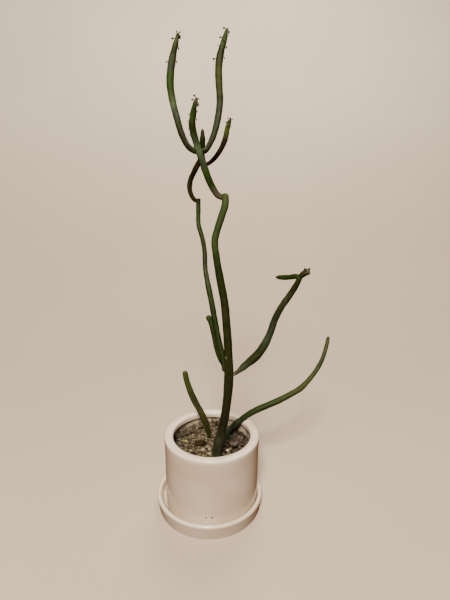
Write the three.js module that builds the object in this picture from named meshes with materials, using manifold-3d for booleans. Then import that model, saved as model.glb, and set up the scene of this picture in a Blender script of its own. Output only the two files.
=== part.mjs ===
// Potted Euphorbia oncoclada: a jointed, almost leafless succulent in a white glazed pot and saucer.
// Millimetres, +Z up. The origin is on the pot's axis, level with the saucer's flat underside.
// +X runs to the right and +Y to the back as the plant is usually seen.
import * as THREE from 'three';
import { mergeVertices } from 'three/addons/utils/BufferGeometryUtils.js';
import Module from 'manifold-3d';

const wasm = await Module();
wasm.setup();

// Driving dimensions
const gap = 0.3; // between pieces that touch
const roundSteps = 48; // facets round the pot and the saucer
const fillSteps = 24; // facets round the soil and the gravel's bed
const saucer = {
  centre: [-2.3, 0.5], // the pot stands a little off the saucer's middle
  radius: 60, baseRadius: 58, height: 17.5, rimThickness: 4.8, floorThickness: 5.2, cornerRadius: 1,
  wallLean: 0.8, innerChamfer: 2.4,
};
const pot = {
  radius: 52, height: 86, wallThickness: 6, floorThickness: 7, cornerRadius: 4,
  lipRadius: 52.5, lipThickness: 9.8, lipHeight: 7.2, lipChamfer: 1.2,
  lipOuterCorner: 2, lipInnerCorner: 3.4, flareHeight: 62, drainRadius: 6,
  footInner: 40, footOuter: 48, footHeight: 1.5,
};
const soilTop = 67;
const gravel = {
  edgeTop: 71, mound: 3.5, seed: 7,
  rings: [1, 0.85, 0.7, 0.5, 0.3, 0], // shares of the radius at which the bed's surface has points
  swells: [ // banked up at the back and the right of it, and sunk at the left of it
    { at: [5, 44], reach: [16, 12], height: 7.5 },
    { at: [36, 26], reach: [12, 12], height: 2.5 },
    { at: [-28, 37], reach: [15, 12], height: -3.2 },
  ],
  pebbles: 90, smallest: 2.8, largest: 4.2, // half the length of a pebble
  slimmest: 0.75, flatness: 0.62, flatnessSpread: 0.2, steepest: 0.25, highest: 0.25, angleJitter: 0.15,
};
const buriedDepth = 30; // how far the trunk reaches below the gravel's edge
const shallowRoot = 8; // how much less deep the two thin rooted stems reach

const potFloor = saucer.floorThickness + gap; // where the pot stands
const innerRadius = pot.radius - pot.wallThickness;
const fillRadius = innerRadius - gap;
const trunkFoot = gravel.edgeTop - buriedDepth;
const thinFoot = trunkFoot + shallowRoot;

// Each stem: a route of points on its axis, radii as [share of length, mm], how blunt its two ends are
// as cap length over radius, and its tiny leaves as [mm below the tip, degrees round from +X, length].
// A rooted stem comes through the gravel at the second point of its route.
const stems = {
  main_stem: {
    route: [[0.5, -14, trunkFoot], [5.6, -17.5, 73.5], [7.4, -19.6, 90], [10.4, -22, 106.5],
      [13.7, -26, 129], [16, -30, 155], [16.8, -33, 182], [15.7, -35, 207.5], [13.8, -37, 232],
      [11.6, -38, 254.5], [7.5, -39, 277], [3.9, -38.5, 298], [2.5, -37, 312], [5, -34, 322.5],
      [9, -28, 334], [12, -22, 343], [12, -18, 352.5]],
    radii: [[0, 4], [0.1, 5.7], [0.155, 5.8], [0.215, 4.6], [0.28, 4.5], [0.34, 4.4], [0.41, 4.8],
      [0.5, 4], [0.7, 3.7], [0.84, 3.1], [1, 3.3]],
    ends: [1, 0.8], sides: 12, finish: 'trunkBark',
  },
  front_upper_stem: {
    route: [[10.5, -18.5, 348.5], [5, -18, 351], [0.8, -18, 357], [-2.7, -19, 364], [-5.8, -19, 372],
      [-8.7, -20, 380.5], [-11, -20, 387], [-12, -20, 390.5]],
    radii: [[0, 2.6], [0.15, 2.9], [0.45, 3.1], [1, 3.1]],
    ends: [0.5, 0.6], sides: 10, sproutsFrom: ['main_stem'],
  },
  front_middle_branch: {
    route: [[-12, -20, 389], [-13.5, -20, 395], [-15.8, -21, 402.5], [-17.1, -22, 409],
      [-17.1, -22, 413.5], [-16, -23, 420], [-14.8, -24, 426], [-12.8, -24, 432]],
    radii: [[0, 2.6], [0.2, 3], [0.5, 3.1], [0.7, 2.7], [0.87, 1.9], [1, 1.3]],
    ends: [0.5, 1.2], sides: 10, sproutsFrom: ['front_upper_stem'], finish: 'youngStem',
    leaves: [[0.6, 190, 4.2], [3.5, 178, 3.4], [4.6, 4, 3.8], [8, 275, 2.4], [9, 95, 2.6],
      [11, 5, 1.6], [14.5, 180, 3], [17.5, 350, 1.8], [20.5, 185, 2], [23, 80, 2], [26, 175, 1.5]],
  },
  left_tall_branch: {
    route: [[-12.5, -19.5, 388], [-16, -17, 389], [-21.9, -10, 393.7], [-27.8, -1, 404.3],
      [-32, 6, 417.5], [-36, 10, 432.5], [-38.1, 13, 446.5], [-37.5, 15, 459], [-35.3, 17, 471.5],
      [-32.1, 18, 483.3], [-30.5, 19, 490.5]],
    radii: [[0, 2.3], [0.08, 2.6], [0.25, 2.9], [0.55, 3.2], [0.68, 3.5], [0.78, 3.4], [0.9, 2.6],
      [1, 1.3]],
    ends: [0.5, 1.2], sides: 8, sproutsFrom: ['front_upper_stem', 'front_middle_branch'],
    leaves: [[0.6, 185, 2.8], [0.8, 20, 3], [3, 355, 4.6], [5.5, 265, 2.5], [7, 182, 4],
      [10.5, 90, 3], [14, 8, 3.2], [19, 275, 2.2], [26, 178, 4.2], [26.5, 0, 3.4], [33, 85, 2]],
  },
  right_tall_branch: {
    route: [[-11, -19.5, 388.5], [-6, -14, 389.5], [-2.3, -8, 394.7], [1.8, -3, 403.8],
      [5.5, 0, 418.7], [7.1, 2, 432.5], [6.4, 3, 445.5], [5.9, 4, 459], [7.2, 5, 470],
      [10.5, 8, 482], [13.2, 11, 492.5]],
    radii: [[0, 2.1], [0.08, 2.4], [0.3, 3], [0.65, 3.2], [0.78, 3.35], [0.9, 2.6], [1, 1.4]],
    ends: [0.5, 1.2], sides: 8, sproutsFrom: ['front_upper_stem', 'front_middle_branch'],
    leaves: [[0.8, 183, 4.2], [0.8, 80, 2], [2.5, 2, 3.2], [6, 5, 1.6], [9.5, 180, 3.4],
      [12.5, 270, 2.2], [15.5, 355, 3.2], [17, 178, 2], [20, 95, 2.4], [25, 0, 2.4], [28, 182, 5]],
  },
  rear_stem: {
    route: [[13, -32, 181], [10.5, -26.5, 195], [6.5, -20, 211], [3, -14, 228], [-0.3, -8, 245.5],
      [-4, -1, 262.5], [-6.5, 6, 276], [-7.5, 17, 293.5], [-10.1, 27, 305.3], [-13.8, 35, 317],
      [-14, 39, 331], [-14, 42, 343]],
    radii: [[0, 2.7], [0.12, 3], [0.45, 2.9], [0.56, 2.45], [1, 2.4]],
    ends: [0.5, 0.3], sides: 8, sproutsFrom: ['main_stem'],
  },
  rear_upper_stem: {
    route: [[-14.5, 41.6, 340.5], [-17, 41, 341], [-20, 39, 344.5], [-22.5, 35, 352.5],
      [-21.5, 31, 361.3], [-17, 26, 371], [-13.8, 22, 376.9], [-10.5, 18, 381.5], [-8, 15.5, 384.5]],
    radii: [[0, 2.1], [0.15, 2.35], [0.4, 2.6], [1, 2.8]],
    ends: [0.5, 0.5], sides: 8, sproutsFrom: ['rear_stem'],
  },
  rear_bud: {
    route: [[-8.6, 15.4, 383.5], [-9, 14.5, 389], [-9, 14, 396], [-9, 14, 409.5]],
    radii: [[0, 1.7], [0.4, 2.1], [0.75, 2.1], [1, 1]],
    ends: [0.5, 2.2], sides: 8, sproutsFrom: ['rear_upper_stem'],
    leaves: [[1, 180, 1.4], [2.4, 20, 1.4]],
  },
  rear_right_branch: {
    route: [[-9.5, 16.8, 380], [-6.5, 15, 377.3], [-3.3, 13.8, 378.1], [3.3, 11, 383.8],
      [9.1, 9, 392.4], [12.5, 8, 400.6], [14.2, 7, 409], [16.8, 6, 417.5]],
    radii: [[0, 1.5], [0.2, 1.95], [0.45, 2.4], [0.7, 2.5], [0.85, 2.35], [1, 1.5]],
    ends: [0.5, 1.1], sides: 8, sproutsFrom: ['rear_upper_stem', 'rear_bud'], finish: 'youngStem',
    leaves: [[0.6, 10, 2.6], [1, 130, 2], [2.6, 180, 2.2], [5, 265, 2], [6.5, 0, 1.5], [9, 95, 1.6]],
  },
  short_left_shoot: {
    route: [[12.5, -29.5, 186.5], [8.8, -19, 188.5], [5.4, -5, 194.5], [2.8, 7, 204],
      [-0.5, 19, 213.7], [-4.6, 27, 219.3]],
    radii: [[0, 2.1], [0.12, 2.5], [0.4, 3.2], [0.8, 3.3], [1, 2.9]],
    ends: [0.5, 0.9], sides: 8, sproutsFrom: ['main_stem', 'rear_stem'],
  },
  right_branch: {
    route: [[18.5, -33, 177.5], [24, -33, 180.3], [33.5, -32, 188.4], [43.8, -31, 197.6],
      [51.2, -30, 208.4], [56.6, -30, 221.3], [60.6, -31, 235.8], [66, -34, 249.5],
      [72.2, -38, 261.5], [77.2, -42, 272.8], [80, -44, 281]],
    radii: [[0, 1.7], [0.05, 2], [0.14, 3.6], [0.22, 4.3], [0.36, 4.1], [0.5, 3.4], [0.85, 3],
      [1, 2.5]],
    ends: [0.5, 0.7], sides: 10, sproutsFrom: ['main_stem'],
  },
  right_branchlet: {
    route: [[79.6, -42.5, 280.5], [77, -38, 279.7], [71, -31, 277], [65.5, -25, 275.4],
      [61, -21, 274.6]],
    radii: [[0, 1.8], [0.2, 2.4], [0.55, 2.4], [0.85, 2.2], [1, 1.7]],
    ends: [0.5, 1], sides: 8, sproutsFrom: ['right_branch'],
  },
  right_end_bud: {
    route: [[80.4, -44.2, 281.5], [83.8, -45, 284.6], [88, -46, 286.5]],
    radii: [[0, 2.1], [0.45, 3], [1, 2]],
    ends: [0.5, 1], sides: 8, sproutsFrom: ['right_branch', 'right_branchlet'],
    leaves: [[1.2, 60, 2.6], [2.4, 300, 2.2]],
  },
  lower_right_stem: {
    route: [[12, 10, thinFoot], [17.6, 13.5, 72], [18.6, 16.5, 77], [20.2, 19.5, 81.3],
      [23.3, 21.3, 84.6], [28.6, 21.8, 89.7], [33.2, 23, 92.8], [43.1, 23.5, 100.3], [52, 24, 105.4],
      [62.9, 25, 110], [77, 27, 115.5], [90.6, 30, 121.4], [103, 34, 127.1], [113.7, 40, 134.9],
      [124, 47, 145], [131.9, 55, 154.8], [137, 62, 165.1], [141.5, 70, 178]],
    radii: [[0, 1.7], [0.13, 2.3], [0.24, 3.3], [0.42, 3.7], [0.62, 3.4], [0.75, 2.75],
      [0.93, 2.4], [1, 2.1]],
    ends: [1, 1.1], sides: 10, finish: 'youngStem',
  },
  lower_left_stem: {
    route: [[-1, 17, thinFoot], [-2.6, 17, 72], [-5.2, 17, 87.8], [-8.6, 17, 98.1],
      [-12.7, 17, 107.8], [-18.6, 18, 119.1], [-23.6, 18, 131.7], [-28.2, 19, 146.5], [-30, 19, 157.5]],
    radii: [[0, 1.5], [0.2, 2], [0.32, 2.6], [0.46, 3.5], [0.72, 3.6], [0.9, 3.2], [1, 2.8]],
    ends: [1, 0.8], sides: 8, finish: 'youngStem',
  },
};
const rootedStems = ['main_stem', 'lower_right_stem', 'lower_left_stem'];
const ringStep = 9; // mm between rings along a stem
const capRings = 3; // rings that round off each end of a stem

// A leaf's outline from stalk to hooked tip, as [share of its length out from the skin, share of its
// length up along the stem, half-width]. Its root is sunk into the stem.
const leafOutline = [[0.45, 0.3, 0.36], [0.75, 0.28, 0.72], [1, -0.08, 0.42]];
const leafHalfThickness = 0.32;
const leafSunk = 1.1;

const largePebble = { centre: [24.5, 2, 76.3], size: [6.4, 7, 5], turn: 0.5 };
const barkChip = { centre: [-12.5, 0, 77.6], size: [6.6, 3.6, 2.9], turn: -0.12 };

// Colours, as seen in warm indoor light
const finishes = {
  whiteGlaze: { color: 0xe9e3da, roughness: 0.25, metalness: 0 },
  darkSoil: { color: 0x3a2b20, roughness: 0.95, metalness: 0 },
  paleGravel: { color: 0xb9ad95, roughness: 0.9, metalness: 0 },
  greyPebble: { color: 0x8b7a6c, roughness: 0.8, metalness: 0 },
  deadWood: { color: 0x4a3822, roughness: 0.9, metalness: 0 },
  trunkBark: { color: 0x3d4428, roughness: 0.6, metalness: 0 },
  greenStem: { color: 0x47602f, roughness: 0.5, metalness: 0 },
  youngStem: { color: 0x5f7a30, roughness: 0.45, metalness: 0 },
};

const part = new THREE.Group();

function addPiece(name, geometry, finish) {
  const piece = new THREE.Mesh(geometry, new THREE.MeshStandardMaterial(finishes[finish]));
  piece.name = name;
  part.add(piece);
  return piece;
}

// Solids: a closed three.js geometry becomes a solid to join and cut, and goes back afterwards
function solidOf(geometry) {
  const bare = new THREE.BufferGeometry();
  bare.setAttribute('position', geometry.getAttribute('position'));
  if (geometry.index) bare.setIndex(geometry.index);
  const merged = mergeVertices(bare, 1e-4);
  const index = merged.index.array;
  const triangles = [];
  for (let i = 0; i < index.length; i += 3) {
    const [a, b, c] = [index[i], index[i + 1], index[i + 2]];
    if (a !== b && b !== c && c !== a) triangles.push(a, b, c);
  }
  return new wasm.Manifold(new wasm.Mesh({
    numProp: 3,
    vertProperties: new Float32Array(merged.getAttribute('position').array),
    triVerts: new Uint32Array(triangles),
  }));
}

function geometryOf(solid) {
  const mesh = solid.getMesh();
  const geometry = new THREE.BufferGeometry();
  geometry.setAttribute('position', new THREE.BufferAttribute(new Float32Array(mesh.vertProperties), 3));
  geometry.setIndex(Array.from(mesh.triVerts));
  geometry.computeVertexNormals();
  return geometry;
}

// Turned shapes: a profile of [radius, height] points, spun about the vertical axis
function turned(profile, steps) {
  const points = profile.map(([radius, height]) => new THREE.Vector2(radius, height));
  return new THREE.LatheGeometry(points, steps).rotateX(Math.PI / 2);
}

function arc(centreRadius, centreHeight, radius, fromDegrees, toDegrees, steps) {
  return Array.from({ length: steps + 1 }, (_, k) => {
    const angle = THREE.MathUtils.degToRad(fromDegrees + ((toDegrees - fromDegrees) * k) / steps);
    return [centreRadius + radius * Math.cos(angle), centreHeight + radius * Math.sin(angle)];
  });
}

function saucerGeometry() {
  const { radius, baseRadius, height, floorThickness, cornerRadius, innerChamfer } = saucer;
  const rim = saucer.rimThickness / 2;
  const wallFoot = radius - saucer.rimThickness - saucer.wallLean;
  const profile = [
    [0, 0],
    ...arc(baseRadius - cornerRadius, cornerRadius, cornerRadius, -90, -10, 3),
    ...arc(radius - rim, height - rim, rim, 0, 180, 6),
    [wallFoot, floorThickness + innerChamfer],
    [wallFoot - innerChamfer, floorThickness],
    [0, floorThickness],
  ];
  return turned(profile, roundSteps);
}

function potGeometry() {
  const { radius, height, floorThickness, cornerRadius, footHeight, drainRadius } = pot;
  const { lipRadius, lipOuterCorner, lipInnerCorner, lipChamfer } = pot;
  const lipInner = lipRadius - pot.lipThickness;
  const underLip = height - pot.lipHeight;
  const profile = [
    [drainRadius, footHeight],
    [pot.footInner, footHeight],
    [pot.footInner + footHeight, 0],
    [pot.footOuter, 0],
    ...arc(radius - cornerRadius, cornerRadius, cornerRadius, -70, 0, 2),
    [radius, pot.flareHeight],
    ...arc(lipRadius - lipOuterCorner, height - lipOuterCorner, lipOuterCorner, 0, 90, 3),
    ...arc(lipInner + lipInnerCorner, height - lipInnerCorner, lipInnerCorner, 90, 180, 3),
    [lipInner, underLip + lipChamfer],
    [lipInner + lipChamfer, underLip],
    [innerRadius, underLip],
    ...arc(innerRadius - cornerRadius, floorThickness + cornerRadius, cornerRadius, 0, -90, 2),
    [drainRadius, floorThickness],
    [drainRadius, footHeight],
  ];
  return turned(profile, roundSteps);
}

// Tubes: rings of points on stations along a line, closed by one pole point at either end.
// A station is { at, across, over, a, b }: centre, two unit directions and the half-widths along them.
function tube(stations, sides) {
  const positions = [];
  const index = [];
  const rings = stations.slice(1, -1);
  positions.push(...stations[0].at);
  for (const { at, across, over, a, b } of rings) {
    for (let j = 0; j < sides; j += 1) {
      const angle = (2 * Math.PI * j) / sides;
      const point = at.clone()
        .addScaledVector(across, a * Math.cos(angle))
        .addScaledVector(over, b * Math.sin(angle));
      positions.push(...point);
    }
  }
  positions.push(...stations.at(-1).at);
  const vertex = (ring, side) => 1 + ring * sides + (side % sides);
  const last = rings.length - 1;
  const endPole = 1 + rings.length * sides;
  for (let j = 0; j < sides; j += 1) {
    index.push(0, vertex(0, j + 1), vertex(0, j));
    for (let i = 0; i < last; i += 1) {
      index.push(vertex(i, j), vertex(i, j + 1), vertex(i + 1, j + 1));
      index.push(vertex(i, j), vertex(i + 1, j + 1), vertex(i + 1, j));
    }
    index.push(endPole, vertex(last, j), vertex(last, j + 1));
  }
  const geometry = new THREE.BufferGeometry();
  geometry.setAttribute('position', new THREE.Float32BufferAttribute(positions, 3));
  geometry.setIndex(index);
  return geometry;
}

function radiusAt(radii, share) {
  const next = radii.findIndex(([at]) => at >= share);
  if (next <= 0) return radii[next === 0 ? 0 : radii.length - 1][1];
  const [fromShare, fromRadius] = radii[next - 1];
  const [toShare, toRadius] = radii[next];
  const blend = THREE.MathUtils.smoothstep(share, fromShare, toShare);
  return THREE.MathUtils.lerp(fromRadius, toRadius, blend);
}

function stemCurve({ route }) {
  const points = route.map((point) => new THREE.Vector3(...point));
  return new THREE.CatmullRomCurve3(points, false, 'centripetal');
}

// Distances along a stem for its rings, with the factor that rounds the ends off
function ringPlan(length, [startCap, endCap]) {
  const quarter = Array.from({ length: capRings + 1 }, (_, k) => (Math.PI / 2) * (k / capRings));
  const start = quarter.map((angle) => [startCap * (1 - Math.cos(angle)), Math.sin(angle)]);
  const end = quarter.map((angle) => [length - endCap * (1 - Math.cos(angle)), Math.sin(angle)]).reverse();
  const straight = length - startCap - endCap;
  const count = Math.max(1, Math.round(straight / ringStep));
  const middle = Array.from({ length: count - 1 }, (_, k) => [startCap + (straight * (k + 1)) / count, 1]);
  return [...start, ...middle, ...end];
}

// A stem's tube, made thicker and longer by `grow` where it is used to cut room for itself
function stemSolid(stem, grow = 0) {
  const curve = stemCurve(stem);
  const length = curve.getLength();
  const firstRadius = radiusAt(stem.radii, 0);
  const lastRadius = radiusAt(stem.radii, 1);
  const caps = [stem.ends[0] * firstRadius + grow, stem.ends[1] * lastRadius + grow];
  let across = null;
  const stations = ringPlan(length + 2 * grow, caps).map(([distance, rounding]) => {
    const share = (distance - grow) / length;
    const inside = THREE.MathUtils.clamp(share, 0, 1);
    const tangent = curve.getTangentAt(inside);
    const at = curve.getPointAt(inside).addScaledVector(tangent, (share - inside) * length);
    if (!across) across = new THREE.Vector3(0, 1, 0).cross(tangent);
    across = across.clone().addScaledVector(tangent, -across.dot(tangent)).normalize();
    const over = tangent.clone().cross(across);
    const radius = (radiusAt(stem.radii, inside) + grow) * rounding;
    return { at, across, over, a: radius, b: radius };
  });
  return solidOf(tube(stations, stem.sides));
}

// A tiny leaf: a thin stalk that springs from the stem, widens to a blade and hooks over
function leafSolid(stem, [below, degrees, length]) {
  const curve = stemCurve(stem);
  const stemLength = curve.getLength();
  const share = 1 - below / stemLength;
  const foot = curve.getPointAt(share);
  const tangent = curve.getTangentAt(share);
  const angle = THREE.MathUtils.degToRad(degrees);
  const out = new THREE.Vector3(Math.cos(angle), Math.sin(angle), 0);
  out.addScaledVector(tangent, -out.dot(tangent)).normalize();
  const side = tangent.clone().cross(out).normalize();
  const nearTip = Math.min(1, 0.4 + below / 3); // the skin curves in over the last 2 mm
  const skin = radiusAt(stem.radii, share) * nearTip;
  const root = skin - leafSunk;
  const stalk = leafOutline[0][2];
  const tip = leafOutline.at(-1);
  const outline = [ // [distance out, distance up, half-width]
    [root, 0, 0],
    [root + 0.05, 0, stalk],
    ...leafOutline.map(([away, up, half]) => [skin + away * length, up * length, half]),
    [skin + tip[0] * length, tip[1] * length - leafHalfThickness, 0],
  ];
  const points = outline.map(([away, up]) => (
    foot.clone().addScaledVector(out, away).addScaledVector(tangent, up)
  ));
  const stations = points.map((at, k) => {
    const before = points[Math.max(k - 1, 0)];
    const after = points[Math.min(k + 1, points.length - 1)];
    const over = after.clone().sub(before).cross(side).normalize();
    return { at, across: side, over, a: outline[k][2], b: leafHalfThickness };
  });
  return solidOf(tube(stations, 4));
}

function leafyStem(stem) {
  const leaves = (stem.leaves ?? []).map((leaf) => leafSolid(stem, leaf));
  let whole = wasm.Manifold.union([stemSolid(stem), ...leaves]);
  for (const parent of stem.sproutsFrom ?? []) whole = whole.subtract(stemSolid(stems[parent], gap));
  return whole;
}

// Stones: rounded lumps, and a seeded draw from 0 to 1 for where they lie
function seededDraw(seed) {
  const modulus = 2 ** 31 - 1;
  const factor = 7 ** 5;
  let state = seed;
  return () => {
    state = (state * factor) % modulus;
    return state / modulus;
  };
}

function stoneSolid({ centre, size, turn, tilt = 0 }, detail, grow = 0) {
  const stone = new THREE.IcosahedronGeometry(1, detail);
  stone.scale(size[0] + grow, size[1] + grow, size[2] + grow);
  return solidOf(stone.rotateX(tilt).rotateZ(turn).translate(...centre));
}

// The gravel's surface: a low mound with a few broad swells, each fading out as a bell curve
function gravelHeight(x, y) {
  const mound = gravel.mound * (1 - (x * x + y * y) / fillRadius ** 2);
  const swells = gravel.swells.map(({ at, reach, height }) => (
    height * Math.exp(-(((x - at[0]) / reach[0]) ** 2) - ((y - at[1]) / reach[1]) ** 2)
  ));
  return swells.reduce((sum, swell) => sum + swell, gravel.edgeTop + mound);
}

function pebbleField(keepClear) {
  const draw = seededDraw(gravel.seed);
  const goldenAngle = Math.PI * (3 - Math.sqrt(5));
  const reach = fillRadius - gravel.largest;
  const pebbles = [];
  for (let k = 0; k < gravel.pebbles; k += 1) {
    const radius = reach * Math.sqrt((k + 0.5) / gravel.pebbles);
    const angle = k * goldenAngle + gravel.angleJitter * (2 * draw() - 1);
    const length = THREE.MathUtils.lerp(gravel.smallest, gravel.largest, draw());
    const width = length * THREE.MathUtils.lerp(gravel.slimmest, 1, draw());
    const thickness = length * gravel.flatness * (1 + gravel.flatnessSpread * (2 * draw() - 1));
    const [x, y] = [radius * Math.cos(angle), radius * Math.sin(angle)];
    const z = gravelHeight(x, y) + thickness * gravel.highest * draw();
    const turn = Math.PI * draw();
    const tilt = gravel.steepest * (2 * draw() - 1);
    const free = keepClear.every(({ at, room }) => Math.hypot(x - at[0], y - at[1]) > room + width / 2);
    const stone = { centre: [x, y, z], size: [length, width, thickness], turn, tilt };
    if (free) pebbles.push(stoneSolid(stone, 0));
  }
  return pebbles;
}

// The fill of the pot: soil below, gravel above, with plain holes for the rooted stems
function soilSolid() {
  const bottom = potFloor + pot.floorThickness + gap;
  const profile = [
    [0, bottom],
    ...arc(fillRadius - pot.cornerRadius, bottom + pot.cornerRadius, pot.cornerRadius, -90, 0, 2),
    [fillRadius, soilTop],
    [0, soilTop],
  ];
  return solidOf(turned(profile, fillSteps));
}

function gravelSolid() {
  const bottom = soilTop + gap;
  const surface = gravel.rings.map((share) => [fillRadius * share, gravel.edgeTop]);
  const bedGeometry = turned([[0, bottom], [fillRadius, bottom], ...surface], fillSteps);
  const places = bedGeometry.getAttribute('position');
  for (let k = 0; k < places.count; k += 1) {
    if (places.getZ(k) > soilTop + 1) places.setZ(k, gravelHeight(places.getX(k), places.getY(k)));
  }
  const bed = solidOf(bedGeometry);
  const roundStems = rootedStems.map((name) => {
    const { route, radii } = stems[name];
    return { at: route[1], room: radii[1][1] + 1 };
  });
  const roundStones = [largePebble, barkChip].map(({ centre, size }) => ({ at: centre, room: size[1] }));
  return wasm.Manifold.union([bed, ...pebbleField([...roundStems, ...roundStones])]);
}

function withHoles(fill) {
  return rootedStems.reduce((left, name) => left.subtract(stemSolid(stems[name], gap)), fill);
}

const saucerPiece = addPiece('saucer', geometryOf(solidOf(saucerGeometry())), 'whiteGlaze');
saucerPiece.position.set(...saucer.centre, 0);
const potPiece = addPiece('pot', geometryOf(solidOf(potGeometry())), 'whiteGlaze');
potPiece.position.z = potFloor;

addPiece('potting_soil', geometryOf(withHoles(soilSolid())), 'darkSoil');
const gravelTopping = withHoles(gravelSolid())
  .subtract(stoneSolid(largePebble, 1, gap))
  .subtract(stoneSolid(barkChip, 1, gap));
addPiece('gravel_topping', geometryOf(gravelTopping), 'paleGravel');
addPiece('large_pebble', geometryOf(stoneSolid(largePebble, 1)), 'greyPebble');
addPiece('bark_chip', geometryOf(stoneSolid(barkChip, 1)), 'deadWood');

for (const [name, stem] of Object.entries(stems)) {
  addPiece(name, geometryOf(leafyStem(stem)), stem.finish ?? 'greenStem');
}

export default part;
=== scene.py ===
import math

import bpy
import numpy as np
from mathutils import Matrix, Vector


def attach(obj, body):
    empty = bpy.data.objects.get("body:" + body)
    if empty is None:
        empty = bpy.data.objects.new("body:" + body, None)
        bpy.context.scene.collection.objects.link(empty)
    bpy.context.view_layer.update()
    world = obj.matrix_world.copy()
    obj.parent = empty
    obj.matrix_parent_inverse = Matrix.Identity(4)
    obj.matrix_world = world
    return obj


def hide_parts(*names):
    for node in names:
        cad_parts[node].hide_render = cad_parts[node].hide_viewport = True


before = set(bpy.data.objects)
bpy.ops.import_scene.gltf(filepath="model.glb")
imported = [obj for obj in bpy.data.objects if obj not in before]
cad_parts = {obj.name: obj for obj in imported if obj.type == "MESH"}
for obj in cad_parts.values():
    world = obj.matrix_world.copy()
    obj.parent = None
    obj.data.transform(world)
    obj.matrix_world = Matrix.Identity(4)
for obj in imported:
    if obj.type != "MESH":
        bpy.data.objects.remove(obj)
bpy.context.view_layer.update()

# Sizes and places are in millimetres, as measured on the plant, and become metres when a mesh is made.
mm = 0.001
goldenAngle = math.pi * (3 - math.sqrt(5))

print("frame loaded:", len(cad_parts), "nodes")


# Colours are written as screen colours and used as linear light
def linear(screen):
    parts = np.array([int(screen[k:k + 2], 16) for k in (0, 2, 4)]) / 255
    return np.where(parts <= 0.04045, parts / 12.92, ((parts + 0.055) / 1.055) ** 2.4)


def rgba(screen):
    return (*linear(screen), 1)


# One screen colour passes into another as share goes from nought to one
def blend(first, second, share):
    return linear(first) * (1 - share) + linear(second) * share


# Angles, lines and curves
def fullTurn(count):
    return np.linspace(0, 2 * np.pi, count, endpoint=False)


# The same angle between minus and plus half a turn
def nearTurn(angle):
    return (angle + np.pi) % (2 * np.pi) - np.pi


def runAlong(line):
    return np.concatenate([[0], np.cumsum(np.linalg.norm(np.diff(line, axis=0), axis=1))])


# Rows of values at the given stops, straight between their places
def between(stops, places, rows):
    return np.stack([np.interp(stops, places, column) for column in np.transpose(rows)], axis=-1)


# A bell curve over two coordinates: one at its middle, gone two reaches away
def bell(x, y, middle, reach):
    return np.exp(-((x - middle[0]) / reach[0]) ** 2 - ((y - middle[1]) / reach[1]) ** 2)


# Meshes: rings of points on a grid, with a single pole in place of the first and the last ring,
# or, for a torus, the last ring joined to the first
def unroll(grid, torus=False):
    if torus:
        return grid.reshape(-1, *grid.shape[2:])
    body = grid[1:-1].reshape(-1, *grid.shape[2:])
    return np.concatenate([grid[0, :1], body, grid[-1, :1]])


def gridFaces(rows, columns, torus=False):
    around = np.arange(columns)
    onward = (around + 1) % columns
    if torus:
        here = np.arange(rows)[:, None] * columns
        above = (here + columns) % (rows * columns)
        fans = np.zeros((0, 3), int)
    else:
        here = 1 + np.arange(rows - 3)[:, None] * columns
        above = here + columns
        top = 1 + (rows - 3) * columns
        tip = np.full(columns, top + columns)
        foot = np.stack([np.zeros(columns, int), 1 + onward, 1 + around], axis=1)
        fans = np.concatenate([foot, np.stack([tip, top + around, top + onward], axis=1)])
    quads = np.stack([here + around, here + onward, above + onward, above + around], axis=-1)
    return quads.reshape(-1, 4), fans


# The faces of many like shapes, each with the given number of points
def repeatedFaces(faces, count, corners):
    shift = np.arange(count)[:, None, None] * corners
    return tuple((part[None] + shift).reshape(-1, part.shape[1]) for part in faces)


# Marks of the points that the materials read: tones are colours, and the rest are vectors or numbers
def addMark(mesh, name, values):
    kind, field = ("FLOAT", "value") if values.ndim == 1 else ("FLOAT_VECTOR", "vector")
    if name == "tone":
        kind, field = "FLOAT_COLOR", "color"
        values = np.concatenate([values, np.ones((len(values), 1))], axis=1)
    mark = mesh.attributes.new(name, kind, "POINT")
    mark.data.foreach_set(field, values.astype(np.float32).ravel())


def addObject(name, data):
    holder = bpy.data.objects.new(name, data)
    bpy.context.scene.collection.objects.link(holder)
    return holder


def makePiece(name, points, faces, material, slotName, nodes=(), smooth=True, marks=None):
    quads, triangles = faces
    corners = np.concatenate([quads.ravel(), triangles.ravel()])
    sizes = np.repeat([4, 3], [len(quads), len(triangles)])
    mesh = bpy.data.meshes.new(name)
    mesh.vertices.add(len(points))
    mesh.vertices.foreach_set("co", (points * mm).astype(np.float32).ravel())
    mesh.loops.add(len(corners))
    mesh.loops.foreach_set("vertex_index", corners.astype(np.int32))
    mesh.polygons.add(len(sizes))
    mesh.polygons.foreach_set("loop_start", (np.cumsum(sizes) - sizes).astype(np.int32))
    mesh.polygons.foreach_set("use_smooth", np.full(len(sizes), smooth))
    mesh.update(calc_edges=True)
    for markName, values in (marks or {}).items():
        addMark(mesh, markName, values)
    mesh.materials.append(material)
    piece = addObject(name, mesh)
    if nodes:
        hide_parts(*nodes)
    if slotName:
        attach(piece, "root")
    return piece


def gridPiece(name, grid, material, slotName, node, torus=False, **marks):
    marks = {key: unroll(values, torus) for key, values in marks.items()}
    faces = gridFaces(*grid.shape[:2], torus)
    makePiece(name, unroll(grid, torus), faces, material, slotName, [node], marks=marks)


# Shader nodes: every input takes a plain value or a link from another node
def addNode(tree, kind, inputs=None, **settings):
    node = tree.nodes.new(kind)
    for key, value in settings.items():
        setattr(node, key, value)
    for key, value in (inputs or {}).items():
        if isinstance(value, bpy.types.NodeSocket):
            tree.links.new(value, node.inputs[key])
        else:
            node.inputs[key].default_value = value
    return node


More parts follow.
